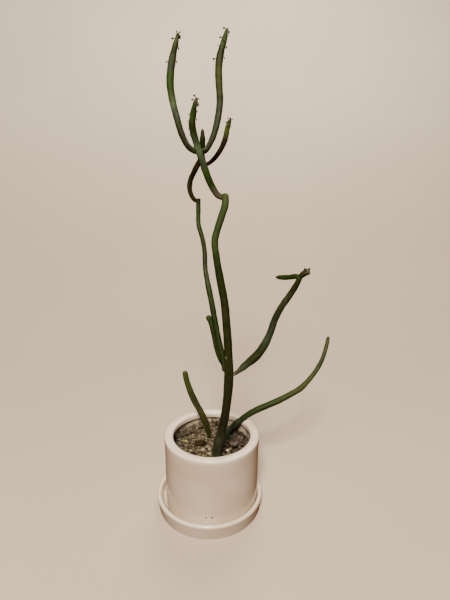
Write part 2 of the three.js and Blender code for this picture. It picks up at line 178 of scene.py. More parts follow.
# A group of nodes: centres are vectors like the place itself, and the other inputs are numbers
def newGroup(name, *inputs):
    group = bpy.data.node_groups.new(name, "ShaderNodeTree")
    for socketName in ("Vector", *inputs):
        kind = "NodeSocketVector" if socketName in ("Vector", "Centre") else "NodeSocketFloat"
        group.interface.new_socket(socketName, in_out="INPUT", socket_type=kind)
    group.interface.new_socket("Mask", in_out="OUTPUT", socket_type="NodeSocketFloat")
    return group, group.nodes.new("NodeGroupInput").outputs, group.nodes.new("NodeGroupOutput").inputs


def maths(tree, operation, first, second):
    return addNode(tree, "ShaderNodeMath", {0: first, 1: second}, operation=operation).outputs[0]


# A smooth step from the lowest to the highest value, as the input goes from low to high
def fade(tree, value, low, high, lowest=0, highest=1):
    inputs = {"Value": value, "From Min": low, "From Max": high, "To Min": lowest, "To Max": highest}
    return addNode(tree, "ShaderNodeMapRange", inputs, interpolation_type="SMOOTHSTEP").outputs[0]


# How far a mask shows: a number is a plain share, and a pair holds both ends of a smooth step
def shown(tree, mask, share):
    if isinstance(share, tuple):
        return fade(tree, mask, 0, 1, *share)
    return maths(tree, "MULTIPLY", mask, share)


def mixColour(tree, share, first, second, way="MIX"):
    first, second = (rgba(colour) if isinstance(colour, str) else colour for colour in (first, second))
    inputs = {0: share, 6: first, 7: second}
    return addNode(tree, "ShaderNodeMix", inputs, data_type="RGBA", blend_type=way).outputs[2]


# Soft patches: smooth noise, faded in between a low and a high value
def makeSoftPatches():
    group, given, result = newGroup("softPatches", "Scale", "Detail", "Low", "High")
    noise = addNode(group, "ShaderNodeTexNoise", {key: given[key] for key in ("Vector", "Scale", "Detail")})
    group.links.new(fade(group, noise.outputs["Fac"], given["Low"], given["High"]), result["Mask"])
    return group


# Scattered dots: the middles of random cells, of which only a share is kept; the inner half is full
def makeScatteredDots():
    group, given, result = newGroup("scatteredDots", "Scale", "Size", "Share")
    cells = addNode(group, "ShaderNodeTexVoronoi", {key: given[key] for key in ("Vector", "Scale")})
    full = maths(group, "MULTIPLY", given["Size"], 0.5)
    near = fade(group, cells.outputs["Distance"], given["Size"], full)
    lot = addNode(group, "ShaderNodeSeparateColor", {0: cells.outputs["Color"]}).outputs[0]
    kept = maths(group, "LESS_THAN", lot, given["Share"])
    group.links.new(maths(group, "MULTIPLY", near, kept), result["Mask"])
    return group


# Long streaks: noise drawn out along the third coordinate
def makeLongStreaks():
    group, given, result = newGroup("longStreaks", "Scale", "Stretch", "Low", "High")
    pull = addNode(group, "ShaderNodeCombineXYZ", {0: 1.0, 1: 1.0, 2: given["Stretch"]}).outputs[0]
    drawn = addNode(group, "ShaderNodeVectorMath", {0: given["Vector"], 1: pull}, operation="MULTIPLY")
    fixed = {"Vector": drawn.outputs[0], "Scale": given["Scale"], "Detail": 4.0, "Roughness": 0.6}
    noise = addNode(group, "ShaderNodeTexNoise", fixed)
    group.links.new(fade(group, noise.outputs["Fac"], given["Low"], given["High"]), result["Mask"])
    return group


# Round mark: full in its inner third and nothing past its radius
def makeRoundMark():
    group, given, result = newGroup("roundMark", "Centre", "Radius")
    ends = {0: given["Vector"], 1: given["Centre"]}
    away = addNode(group, "ShaderNodeVectorMath", ends, operation="DISTANCE").outputs["Value"]
    full = maths(group, "MULTIPLY", given["Radius"], 0.35)
    group.links.new(fade(group, away, given["Radius"], full), result["Mask"])
    return group


softPatches = makeSoftPatches()
scatteredDots = makeScatteredDots()
longStreaks = makeLongStreaks()
roundMark = makeRoundMark()


# Patterns as a group and its settings: a higher scale draws finer, low and high are the ends of the fade
def soft(scale, low, high, detail=3):
    return softPatches, {"Scale": scale, "Low": low, "High": high, "Detail": detail}


def dotted(scale, size, share):
    return scatteredDots, {"Scale": scale, "Size": size, "Share": share}


def streaked(scale, stretch, low, high):
    return longStreaks, {"Scale": scale, "Stretch": stretch, "Low": low, "High": high}


def pattern(tree, place, group, values):
    return addNode(tree, "ShaderNodeGroup", {"Vector": place, **values}, node_tree=group).outputs[0]


def roundMarkAt(tree, centre, radius):
    values = {"Centre": tuple(np.array(centre) * mm), "Radius": radius * mm}
    return pattern(tree, objectPlace(tree), roundMark, values)


def objectPlace(tree):
    return addNode(tree, "ShaderNodeTexCoord").outputs["Object"]


def markValue(tree, name, field):
    return addNode(tree, "ShaderNodeAttribute", attribute_name=name).outputs[field]


def addUp(tree, masks, parts):
    total, *rest = (shown(tree, masks[key], share) for key, share in parts)
    for part in rest:
        total = maths(tree, "ADD", total, part)
    return total


# A material drawn in layers by its look. The patterns lie on the object, or lengthwise on a stem, and other
# masks are marks of the mesh. The base is the mesh's own tone, or what a function of its own gives. Every
# layer is a mask, how far it shows, its colour and the way it mixes. Spots are place, radius and colour.
# Roughness and height add up masks, and bump is the height's depth in metres and its strength
def layeredMaterial(name, look, makeBase=None):
    material = bpy.data.materials.new(name)
    material.use_nodes = True
    tree = material.node_tree
    tree.nodes.clear()
    shader = addNode(tree, "ShaderNodeBsdfPrincipled", look["shader"])
    addNode(tree, "ShaderNodeOutputMaterial", {"Surface": shader.outputs[0]})
    place = markValue(tree, "straight", "Vector") if look.get("lengthwise") else objectPlace(tree)
    masks = {key: pattern(tree, place, *values) for key, values in look["patterns"].items()}
    masks.update((key, markValue(tree, key, "Fac")) for key in look.get("marks", ()))
    colour = makeBase(tree, masks, look) if makeBase else markValue(tree, "tone", "Color")
    for key, share, tint, *way in look["layers"]:
        colour = mixColour(tree, shown(tree, masks[key], share), colour, tint, *way)
    for centre, radius, tint in look.get("spots", ()):
        spot = shown(tree, roundMarkAt(tree, centre, radius), look["spotShare"])
        colour = mixColour(tree, spot, colour, tint)
    depth, strength = look["bump"]
    values = {"Strength": strength, "Distance": depth, "Height": addUp(tree, masks, look["height"])}
    bump = addNode(tree, "ShaderNodeBump", values).outputs[0]
    roughness = addUp(tree, masks, look["roughness"])
    for key, socket in {"Base Color": colour, "Roughness": roughness, "Normal": bump}.items():
        tree.links.new(socket, shader.inputs[key])
    return material


# Glaze: warm off-white, with painted shade that makes it a little darker below the rims, faint pools of tone,
# sparse dark specks, a few larger marks, and grime that is partly dirt and partly painted shade in the
# corners, under the lip and round the foot
glazeLook = dict(
    shader={"Coat Weight": 0.35, "Coat Roughness": 0.12, "IOR": 1.5}, cream="f8ecd8", shade="ecdfc8",
    patterns=dict(pools=soft(26, 0.35, 0.7), fine=soft(420, 0.3, 0.75), clouds=soft(190, 0.28, 0.66),
                  specks=dotted(170, 0.1, 0.012)),
    marks=("grime", "body"), cloudShare=(0.45, 1.2),
    largeSpecks=[((-6.2, -51.6, 22.4), 1.5), ((-0.1, -52, 22.9), 1.8), ((-38.9, -34.5, 15.5), 1.1),
                 ((-34.2, -39.1, 16.9), 1.1), ((-28.6, -43.4, 18), 0.9)],
    # the body layer is painted shade below the rims, and the dirt layer is partly dirt and partly painted
    # shade
    layers=[("body", 1, "e7e3de", "MULTIPLY"), ("dirt", 1, "544d3f"), ("specks", 0.85, "4c3b2b")],
    roughness=[("pools", (0.24, 0.32)), ("dirt", 0.5)], height=[("fine", 0.12), ("pools", 1)],
    bump=(0.0004, 0.35),
)


def glazeBase(tree, masks, look):
    for centre, radius in look["largeSpecks"]:
        masks["specks"] = maths(tree, "MAXIMUM", masks["specks"], roundMarkAt(tree, centre, radius))
    clouds = shown(tree, masks["clouds"], look["cloudShare"])
    masks["dirt"] = maths(tree, "MULTIPLY", masks["grime"], clouds)
    return mixColour(tree, masks["pools"], look["cream"], look["shade"])


# Living skin: the tone comes with the mesh and varies along each stem; pale streaks and threads run
# lengthwise and brighten it, blotches dim it, and dots, rust and leaf scars are darker
def skinLook(streak, streakShare, rust, rustShare, dot, dotShare, scar, roughness, strength, spots=()):
    return dict(
        shader={"IOR": 1.45, "Specular IOR Level": 0.17}, lengthwise=True, marks=("scar",),
        patterns=dict(streaks=streaked(620, 0.07, 0.48, 0.68), threads=streaked(2300, 0.12, 0.3, 0.75),
                      blotches=streaked(330, 0.45, 0.38, 0.62), rust=streaked(260, 0.3, 0.52, 0.7),
                      dots=dotted(520, 0.28, dotShare)),
        layers=[("blotches", (0, 0.5), (0.42, 0.48, 0.42, 1), "MULTIPLY"), ("rust", rustShare, rust),
                ("threads", (0, 0.25), streak, "MULTIPLY"), ("streaks", streakShare, streak, "MULTIPLY"),
                ("dots", 0.8, dot), ("scar", 0.7, scar)],
        spots=spots, spotShare=0.8, roughness=[("threads", roughness)],
        height=[("threads", 0.5), ("streaks", 1), ("dots", -0.6)], bump=(0.00012, strength),
    )


trunkLook = skinLook(
    streak=(1.9, 1.8, 2.6, 1), streakShare=0.6, rust="2a1e0f", rustShare=0.4, dot="1b170d", dotShare=0.2,
    scar="2a2615", roughness=(0.55, 0.72), strength=0.9,
    spots=[((13.2, -36.9, 198.2), 2.4, "6c7a52"), ((6.6, -24, 109.5), 1.1, "14110b"),
           ((3.6, -22.3, 94), 1.2, "14110b"), ((13.5, -20.5, 88), 2.2, "2c2011")],
)
greenLook = skinLook(
    streak=(1.7, 1.6, 2.2, 1), streakShare=0.6, rust="2c2611", rustShare=0.22, dot="27240f", dotShare=0.06,
    scar="33331a", roughness=(0.5, 0.66), strength=0.6,
)
youngLook = skinLook(
    streak=(1.5, 1.45, 1.9, 1), streakShare=0.5, rust="332c12", rustShare=0.2, dot="40301a", dotShare=0.08,
    scar="3e4320", roughness=(0.48, 0.62), strength=0.5,
)
leafLook = dict(
    shader={"IOR": 1.45, "Specular IOR Level": 0.4}, patterns=dict(mottle=soft(1500, 0.3, 0.7)),
    layers=[("mottle", (0, 0.6), "8a8060", "MULTIPLY")],
    roughness=[("mottle", (0.45, 0.65))], height=[("mottle", 1)], bump=(0.0001, 0.5),
)


# Stones: each stone's own tone comes with the mesh, and grains, pale veins and pits are drawn on it
def stoneLook(grainScale, veinScale, pitScale, pitShare, pit, strength):
    return dict(
        shader={"IOR": 1.5, "Specular IOR Level": 0.12},
        patterns=dict(grains=soft(grainScale, 0.3, 0.72, 4), veins=soft(veinScale, 0.42, 0.62),
                      pits=dotted(pitScale, 0.35, pitShare)),
        layers=[("grains", (0, 0.55), (0.55, 0.5, 0.43, 1), "MULTIPLY"),
                ("veins", (0, 0.06), (1, 0.95, 0.85, 1), "SCREEN"), ("pits", 0.6, pit)],
        roughness=[("grains", (0.95, 0.75))], height=[("grains", 1), ("pits", -0.8)],
        bump=(0.0003, strength),
    )


gravelLook = stoneLook(grainScale=1500, veinScale=450, pitScale=1100, pitShare=0.3, pit="4a3d2c",
                       strength=0.8)
pebbleLook = stoneLook(grainScale=620, veinScale=186, pitScale=700, pitShare=0.25, pit="3d3026",
                       strength=1)
barkLook = dict(
    shader={"IOR": 1.4, "Specular IOR Level": 0.25}, lengthwise=True,
    patterns=dict(fibres=streaked(1300, 0.2, 0.35, 0.68), blotches=soft(330, 0.35, 0.65)),
    layers=[("fibres", (0, 0.6), "15100a"), ("blotches", (0, 0.35), "4a3a1c")],
    roughness=[("fibres", (0.75, 0.95))], height=[("fibres", 1)], bump=(0.0005, 1.0),
)
soilLook = dict(
    shader={"IOR": 1.4, "Specular IOR Level": 0.2}, dark="1d150e", light="4a3826",
    patterns=dict(crumbs=soft(480, 0.3, 0.7, 6), fibres=dotted(380, 0.3, 0.15)),
    layers=[("fibres", 0.7, "7a6344")],
    roughness=[("crumbs", (0.98, 0.85))], height=[("crumbs", 1)], bump=(0.0008, 1.0),
)


def soilBase(tree, masks, look):
    return mixColour(tree, masks["crumbs"], look["dark"], look["light"])


# The floor's paper is pale to the eye and throws little light back, so that the pot keeps its shaded sides;
# it grows lighter up to the height named reach, in metres
paperLook = dict(
    shader={"Specular IOR Level": 0.0}, low="d3c6b4", high="fbefdf", reach=0.9,
    patterns=dict(paper=soft(3, 0.2, 0.8)), layers=[("paper", (0, 0.08), "a89c8c"), ("unseen", 1, "5c4130")],
    roughness=[("paper", (0.85, 0.95))], height=[("paper", 1)], bump=(0.0001, 0.1),
)


def paperBase(tree, masks, look):
    seen = addNode(tree, "ShaderNodeLightPath").outputs["Is Camera Ray"]
    masks["unseen"] = maths(tree, "SUBTRACT", 1, seen)
    height = addNode(tree, "ShaderNodeSeparateXYZ", {0: objectPlace(tree)}).outputs[2]
    return mixColour(tree, fade(tree, height, 0, look["reach"]), look["low"], look["high"])


glaze = layeredMaterial("warmGlaze", glazeLook, glazeBase)
trunkSkin = layeredMaterial("trunkSkin", trunkLook)
greenSkin = layeredMaterial("greenSkin", greenLook)
youngSkin = layeredMaterial("youngSkin", youngLook)
leafSkin = layeredMaterial("leafSkin", leafLook)
gravelStone = layeredMaterial("gravelStone", gravelLook)
pebbleStone = layeredMaterial("pebbleStone", pebbleLook)
weatheredBark = layeredMaterial("weatheredBark", barkLook)
darkSoil = layeredMaterial("darkSoil", soilLook, soilBase)
palePaper = layeredMaterial("palePaper", paperLook, paperBase)
print("materials made:", len(bpy.data.materials))


# Turned shapes: radius and height of every point of an outline, carried round the upright axis
def arc(centreRadius, centreHeight, radius, fromDegrees, toDegrees, steps):
    angle = np.radians(np.linspace(fromDegrees, toDegrees, steps + 1))
    return np.stack([centreRadius + radius * np.cos(angle), centreHeight + radius * np.sin(angle)], axis=1)


# A squarish arch: the cosine and the sine of the angle are raised to a power below one
def arch(centreRadius, centreHeight, halfWidth, rise, power, fromDegrees, toDegrees, steps):
    angle = np.radians(np.linspace(fromDegrees, toDegrees, steps + 1))
    across, up = np.cos(angle), np.sin(angle)
    return np.stack([centreRadius + halfWidth * np.sign(across) * np.abs(across) ** power,
                     centreHeight + rise * np.abs(up) ** power], axis=1)


turning = dict(step=1.6, columns=240, nearest=0.4)


# The same outline with points no further apart than a step; its own points are kept, and a new one that
# would be nearer to them than a share of the step is left out
def evenly(outline):
    outline = np.concatenate([np.atleast_2d(np.array(part, float)) for part in outline])
    run = runAlong(outline)
    stops = np.arange(0, run[-1], turning["step"])
    clear = np.abs(stops[:, None] - run).min(axis=1) > turning["step"] * turning["nearest"]
    stops = np.sort(np.concatenate([run, stops[clear]]))
    return between(stops, run, outline)


def turned(outline, columns):
    angle = fullTurn(columns)
    radius, height = outline[:, :1], outline[:, 1:]
    return np.stack([radius * np.cos(angle), radius * np.sin(angle), height + 0 * angle], axis=-1)


# Radius from the pot's axis, angle round from +X, and height of every point
def polar(grid):
    return np.hypot(grid[..., 0], grid[..., 1]), np.arctan2(grid[..., 1], grid[..., 0]), grid[..., 2]


# One patch of grime and painted shade, with its middle and reach in degrees and height
def patch(angle, height, middle, reach):
    turn = nearTurn(angle - np.radians(middle[0]))
    return bell(turn, height, (0, middle[1]), (np.radians(reach[0]), reach[1]))


gravelTop = dict(
    edge=71, mound=3.5, radius=45.7, bottom=67.3, sink=1.3, leastCover=0.3,
    ringStep=0.9, inmost=0.5, columns=200,
    swells=[((5, 44), (16, 12), 7.5), ((36, 26), (12, 12), 2.5), ((-28, 37), (15, 12), -3.2)],
    ripple=0.5, rippleSeed=3, rippleLengths=(3, 9),
)
# The body's fade gives how far below the top the painted shade on the body starts, and over what height it
# comes in
saucer = dict(
    centre=(-2.3, 0.5), radius=60, baseRadius=58, height=17.5, rim=4.8, floor=5.2, corner=1,
    wallLean=0.8, innerCorner=2.4, bodyShadeFade=(0.6, 2.4),
    # the ring round the pot's foot on the saucer floor and its patch are partly dirt and partly painted
    # contact shade
    grimeAndShadeRing=(50.5, 1.8), grimeAndShadeRadius=57, grimeAndShadeBelow=0.5, grimeAndShadeAbove=6, grimeAndShadeShares=(0.3, 0.35),
    grimeAndShadePatch=((-135, 5), (55, 20)),
)
pot = dict(
    standsAt=5.5, radius=52, height=86, inner=46, floor=7, corner=4, flareFrom=62,
    lipRadius=52.5, lip=9.8, lipHeight=7.2, lipRise=3.6, lipPower=(0.5, 0.62), lipCorner=1.2,
    drain=6, footInner=40, footOuter=48, foot=1.5, bodyShadeFade=(1.5, 4),
    # middles, reaches and shares of the patches on the inside wall, partly dirt and partly painted shade
    wallGrimeAndShade=[((150, 78), (20, 9), 0.8), ((176, 78), (18, 12), 0.4), ((122, 72), (18, 6), 0.7),
               ((28, 77), (12, 8), 0.6), ((8, 76), (14, 8), 0.5), ((60, 72), (14, 5), 0.45),
               ((88, 77), (24, 9), 1.05)],
    # the crease values are a painted shadow under the lip, and the foot values are dirt with painted contact
    # shade
    wallGrimeAndShadeFrom=7, wallGrimeAndShadeFade=3, wallRoom=0.5, edgeGrime=0.33, edgeFade=3, lipShadow=0.9, lipShadowWidth=0.7,
    footGrimeAndShade=0.3, footFade=1.6, footGrimeAndShadePatch=(-122, 11, 1.8, 0.75), mostGrimeAndShade=0.92,
)


# Painted shade: the walls below a rim are darker, so that the rim looks lit from above
def bodyShadeMark(height, top, piece):
    start, length = piece["bodyShadeFade"]
    return np.clip((top - start - height) / length, 0, 1)


def addSaucer():
    rim = saucer["rim"] / 2
    wallFoot = saucer["radius"] - saucer["rim"] - saucer["wallLean"]
    inner = saucer["innerCorner"]
    outline = evenly([
        (0, 0),
        arc(saucer["baseRadius"] - saucer["corner"], saucer["corner"], saucer["corner"], -90, -10, 10),
        arc(saucer["radius"] - rim, saucer["height"] - rim, rim, 0, 180, 18),
        arc(wallFoot - inner, saucer["floor"] + inner, inner, 0, -90, 8),
        (0, saucer["floor"]),
    ])
    grid = turned(outline, turning["columns"])
    grid[..., :2] += saucer["centre"]
    radius, angle, height = polar(grid)
    above = height - saucer["floor"]
    # Partly dirt and partly painted contact shade round the pot's foot, deeper on the front left
    onFloor = (above > -saucer["grimeAndShadeBelow"]) & (above < saucer["grimeAndShadeAbove"])
    ringRadius, ringWidth = saucer["grimeAndShadeRing"]
    ring = np.exp(-((radius - ringRadius) / ringWidth) ** 2)
    evenShare, patchShare = saucer["grimeAndShadeShares"]
    share = evenShare + patchShare * patch(angle, height, *saucer["grimeAndShadePatch"])
    grime = onFloor * (radius < saucer["grimeAndShadeRadius"]) * ring * share
    body = bodyShadeMark(height, saucer["height"], saucer)
    gridPiece("saucerDish", grid, glaze, "white_glaze", "saucer", grime=grime, body=body)


# Grime and painted shade on the pot: patches on the inside wall, partly dirt and partly painted shade from
# the lip, dirt along the gravel's edge, a painted shadow in the crease under the lip, and dirt with painted
# contact shade along the foot
def potGrimeAndShade(radius, angle, height):
    underside = pot["standsAt"] + pot["height"] - pot["lipHeight"]
    onWall = radius < pot["inner"] + pot["wallRoom"]
    wall = pot["edgeGrime"] * np.exp(-np.clip(height - gravelTop["edge"], 0, None) / pot["edgeFade"])
    below = np.clip((underside + pot["wallGrimeAndShadeFade"] - height) / pot["wallGrimeAndShadeFade"], 0, 1)
    for middle, reach, share in pot["wallGrimeAndShade"]:
        wall = wall + share * patch(angle, height, middle, reach) * below
    # A painted shadow in the crease under the lip
    lipShadow = np.exp(-((height - underside) / pot["lipShadowWidth"]) ** 2) * (height > gravelTop["edge"])
    outside = radius > pot["footOuter"]
    foot = pot["footGrimeAndShade"] * np.exp(-(height - pot["standsAt"]) / pot["footFade"])
    middle, reach, rise, share = pot["footGrimeAndShadePatch"]
    foot = foot + share * patch(angle, height, (middle, pot["standsAt"]), (reach, rise))
    inside = onWall * (wall * (height > gravelTop["edge"] - pot["wallGrimeAndShadeFrom"]) + pot["lipShadow"] * lipShadow)
    return np.clip(inside + outside * foot, 0, pot["mostGrimeAndShade"])


def addPot():
    underLip = pot["height"] - pot["lipHeight"]
    lipMiddle = pot["lipRadius"] - pot["lip"] / 2
    lipInner = pot["lipRadius"] - pot["lip"]
    small = pot["lipCorner"]
    outerPower, innerPower = pot["lipPower"]
    crown = (lipMiddle, pot["height"] - pot["lipRise"], pot["lip"] / 2, pot["lipRise"])
    outline = evenly([
        (pot["drain"], pot["foot"]),
        (pot["footInner"], pot["foot"]),
        (pot["footInner"] + pot["foot"], 0),
        (pot["footOuter"], 0),
        arc(pot["radius"] - pot["corner"], pot["corner"], pot["corner"], -80, 0, 8),
        (pot["radius"], pot["flareFrom"]),
        arch(*crown, outerPower, 0, 90, 16),
        arch(*crown, innerPower, 90, 180, 16)[1:],
        arc(lipInner + small, underLip + small, small, 180, 270, 5),
        (pot["inner"], underLip),
        arc(pot["inner"] - pot["corner"], pot["floor"] + pot["corner"], pot["corner"], 0, -90, 6),
        (pot["drain"], pot["floor"]),
    ])
    grid = turned(outline, turning["columns"])
    grid[..., 2] += pot["standsAt"]
    radius, angle, height = polar(grid)
    grime = potGrimeAndShade(radius, angle, height)
    body = bodyShadeMark(height, pot["standsAt"] + pot["height"], pot)
    gridPiece("coverPot", grid, glaze, "white_glaze", "pot", torus=True, grime=grime, body=body)


addSaucer()
addPot()
print("pot and saucer turned")


# The bed's surface: a low mound, banked up or sunk where a broad bell curve is added to it
def bedHeight(x, y):
    mound = gravelTop["mound"] * (1 - (x ** 2 + y ** 2) / gravelTop["radius"] ** 2)
    swells = sum(height * bell(x, y, middle, reach) for middle, reach, height in gravelTop["swells"])
    return gravelTop["edge"] + mound + swells


# Unevenness as a sum of crossing waves, each with its own direction, length and start
def ripples(x, y, seed, lengths, count=9):
    draw = np.random.default_rng(seed)
    heading = draw.uniform(0, 2 * np.pi, count)
    wave = 2 * np.pi / draw.uniform(*lengths, count)
    start = draw.uniform(0, 2 * np.pi, count)
    across = x[..., None] * np.cos(heading) + y[..., None] * np.sin(heading)
    return np.sin(across * wave + start).sum(axis=-1) / math.sqrt(count)


def bedRipples(x, y):
    return gravelTop["ripple"] * ripples(x, y, gravelTop["rippleSeed"], gravelTop["rippleLengths"])


# Under the grains the bed shows dark in their gaps
def addBed():
    reach = np.append(np.arange(gravelTop["radius"], gravelTop["inmost"], -gravelTop["ringStep"]), 0)
    rows = np.concatenate([[(0, gravelTop["bottom"]), (gravelTop["radius"], gravelTop["bottom"])],
                           np.stack([reach, 0 * reach + gravelTop["edge"]], axis=1)])
    grid = turned(rows, gravelTop["columns"])
    x, y = grid[..., 0], grid[..., 1]
    surface = bedHeight(x, y) - gravelTop["sink"] + bedRipples(x, y)
    surface = np.maximum(surface, gravelTop["bottom"] + gravelTop["leastCover"])
    surface[-1] = surface[-1, 0]
    grid[2:, :, 2] = surface[2:]
    gridPiece("gravelBed", grid, darkSoil, "dark_soil", "gravel_topping")


# A stone: the part of a squashed ball that a few random planes leave, seen along a grid of directions
def stonePoints(directions, draw, count, planes, cut):
    normals = draw.normal(size=(count, planes, 3))
    normals /= np.linalg.norm(normals, axis=2, keepdims=True)
    depth = draw.uniform(*cut, (count, planes, 1))
    facing = np.maximum(normals @ directions.T, 1e-3)
    reach = np.minimum((depth / facing).min(axis=1), 1)
    return directions * reach[..., None]


def ballDirections(rows, columns):
    tilt = np.linspace(-np.pi / 2, np.pi / 2, rows)[:, None]
    turn = fullTurn(columns)
    level = np.cos(tilt)
    return np.stack([level * np.cos(turn), level * np.sin(turn), np.sin(tilt) + 0 * turn], axis=-1)


# Matrices that turn by each of the angles about one axis: X is 0, Y is 1 and Z is 2
def turnsAbout(axis, angles):
    second, third = (axis + 1) % 3, (axis + 2) % 3
    matrices = np.tile(np.eye(3), (len(angles), 1, 1))
    matrices[:, second, second] = matrices[:, third, third] = np.cos(angles)
    matrices[:, third, second] = np.sin(angles)
    matrices[:, second, third] = -matrices[:, third, second]
    return matrices


# Loose grains: places on a sunflower spiral with some jitter, kept off what stands or lies in the gravel.
# Lengths are halves, slim and flat are shares of the length, and patches are middle, reach and share
grains = dict(
    count=1650, seed=11, rows=6, columns=7, planes=9, cut=(0.62, 0.95), jitter=0.8, tilt=0.45,
    lengths=(0.95, 2), bigShare=0.12, bigLengths=(2, 2.7), slim=(0.62, 1.0), flat=(0.5, 0.85),
    heights=(-0.9, 0.7), edgeRoom=1.2, wallRoom=0.8, chosenLift=0.4, toneSpread=(0.5, 1.02),
    pale=["7e755a", "6b624a", "59503b", "9a917a", "716847", "4b422f", "857c5e", "60573d"],
    paleShares=[0.18, 0.2, 0.16, 0.08, 0.12, 0.12, 0.06, 0.08],
    dark=["33220f", "27190b", "41301a", "4a3820", "1e1408"], darkShares=[0.3, 0.25, 0.2, 0.1, 0.15],
    darkEverywhere=0.08,
    # dark patches gather dark stones; the ones at (16, -13) and (25, -4.5) are painted shadow by the trunk's
    # foot and along the pebble's front
    darkAndShadowPatches=[((-43, 14), (5, 6), 0.9), ((-36, 3), (6, 6), 0.6), ((-28, -3), (6, 4), 0.6),
                 ((-18, -11), (4, 3), 0.6), ((-33, 24), (7, 4), 0.95), ((-24, 30), (6, 3.5), 0.9),
                 ((34, 31), (7, 7), 0.9), ((41, 21), (5, 8), 0.85), ((36, 17), (4, 4), 0.7),
                 ((16, -13), (6, 4), 0.95), ((25, -4.5), (9, 2.4), 0.95), ((33, 6), (3, 5), 0.6),
                 ((32, 0), (3, 3), 0.6), ((0, 39), (8, 4), 0.45), ((-12, 38), (4, 3), 0.8)],
    # painted shade that darkens the grains on the right and left towards the back
    dim=[((34, 22), (18, 20), 0.68), ((-34, 22), (14, 12), 0.52), ((-28, 2), (14, 12), 0.12)],
    # place, half sizes, turn and tone of the stones that stand out
    chosen=[((17.2, -9.3), (2.3, 1.6, 1.5), -0.5, "e0d6b4"), ((-29.3, 11.3), (2.7, 1.9, 1.4), 0.2, "a39660"),
            ((-32.5, 12.5), (1.8, 1.4, 1.1), 0.9, "968a5c"), ((31.5, 17.3), (1.9, 2.3, 1.6), 0.3, "7c6a5e"),
            ((-2.9, 5), (1.7, 1.3, 1.1), 0.4, "604034"), ((-1.2, 2.6), (1.4, 1.1, 1), 1.2, "785a4c"),
            ((-10.1, -7.7), (3.2, 2.7, 2), 0.7, "a4947a"), ((-2.9, -7), (2.8, 2.3, 1.9), 2.1, "a08f76"),
            ((-2.7, -14.6), (2.8, 2.2, 1.8), 0.1, "a69880"), ((-23, -7.9), (2.5, 2.1, 1.6), 1.4, "9a8b70"),
            # the thin pale sliver at (8.9, -23.6) stands where a glint shows: its pale tone is partly a
            # painted highlight
            ((8.9, -23.6), (2.4, 0.6, 0.5), -0.2, "b8b09a"), ((-11.7, 38.6), (2.1, 1.8, 1.6), 0, "1a140d"),
            ((-0.3, 41.3), (1.8, 1.6, 1.5), 1, "1a140d"), ((5.3, 38.1), (2.3, 1.8, 1.7), 0.5, "1d160e"),
            ((-39.2, 20), (3, 1.5, 1.3), 0.6, "15110c"), ((-34.5, 23.4), (3, 1.4, 1.2), 0.6, "130f0b"),
            ((-29.2, 26.9), (3, 1.5, 1.3), 0.6, "15110c"), ((-24.4, 30.2), (2.9, 1.3, 1.2), 0.5, "120e0a"),
            ((-19.9, 33.1), (2.4, 1.4, 1.2), 0.5, "17120c")],
    # middles and half widths of what the grains leave free
    clear=[((5.8, -17.5), (5.2, 5.2)), ((17.6, 13.5), (2.1, 2.1)), ((-2.6, 17), (1.8, 1.8)),
           ((24.5, 2), (5.2, 5.8)), ((-12.5, 0), (5.4, 2.6))],
)


# A grain's tone: dark by chance, more often in the dark patches, two of which are painted shadow, and
# darkened by painted shade in the shaded patches
def grainTones(x, y, draw):
    count = len(x)
    palette = {kind: np.array([linear(tone) for tone in grains[kind]]) for kind in ("pale", "dark")}
    pale = palette["pale"][draw.choice(len(grains["pale"]), count, p=grains["paleShares"])]
    dark = palette["dark"][draw.choice(len(grains["dark"]), count, p=grains["darkShares"])]
    darkChance = np.full(count, grains["darkEverywhere"])
    for middle, reach, share in grains["darkAndShadowPatches"]:
        darkChance = np.maximum(darkChance, share * bell(x, y, middle, reach))
    tone = np.where((draw.random(count) < darkChance)[:, None], dark, pale)
    shade = 1 - sum(share * bell(x, y, middle, reach) for middle, reach, share in grains["dim"])
    return tone * draw.uniform(*grains["toneSpread"], count)[:, None] * shade[:, None]


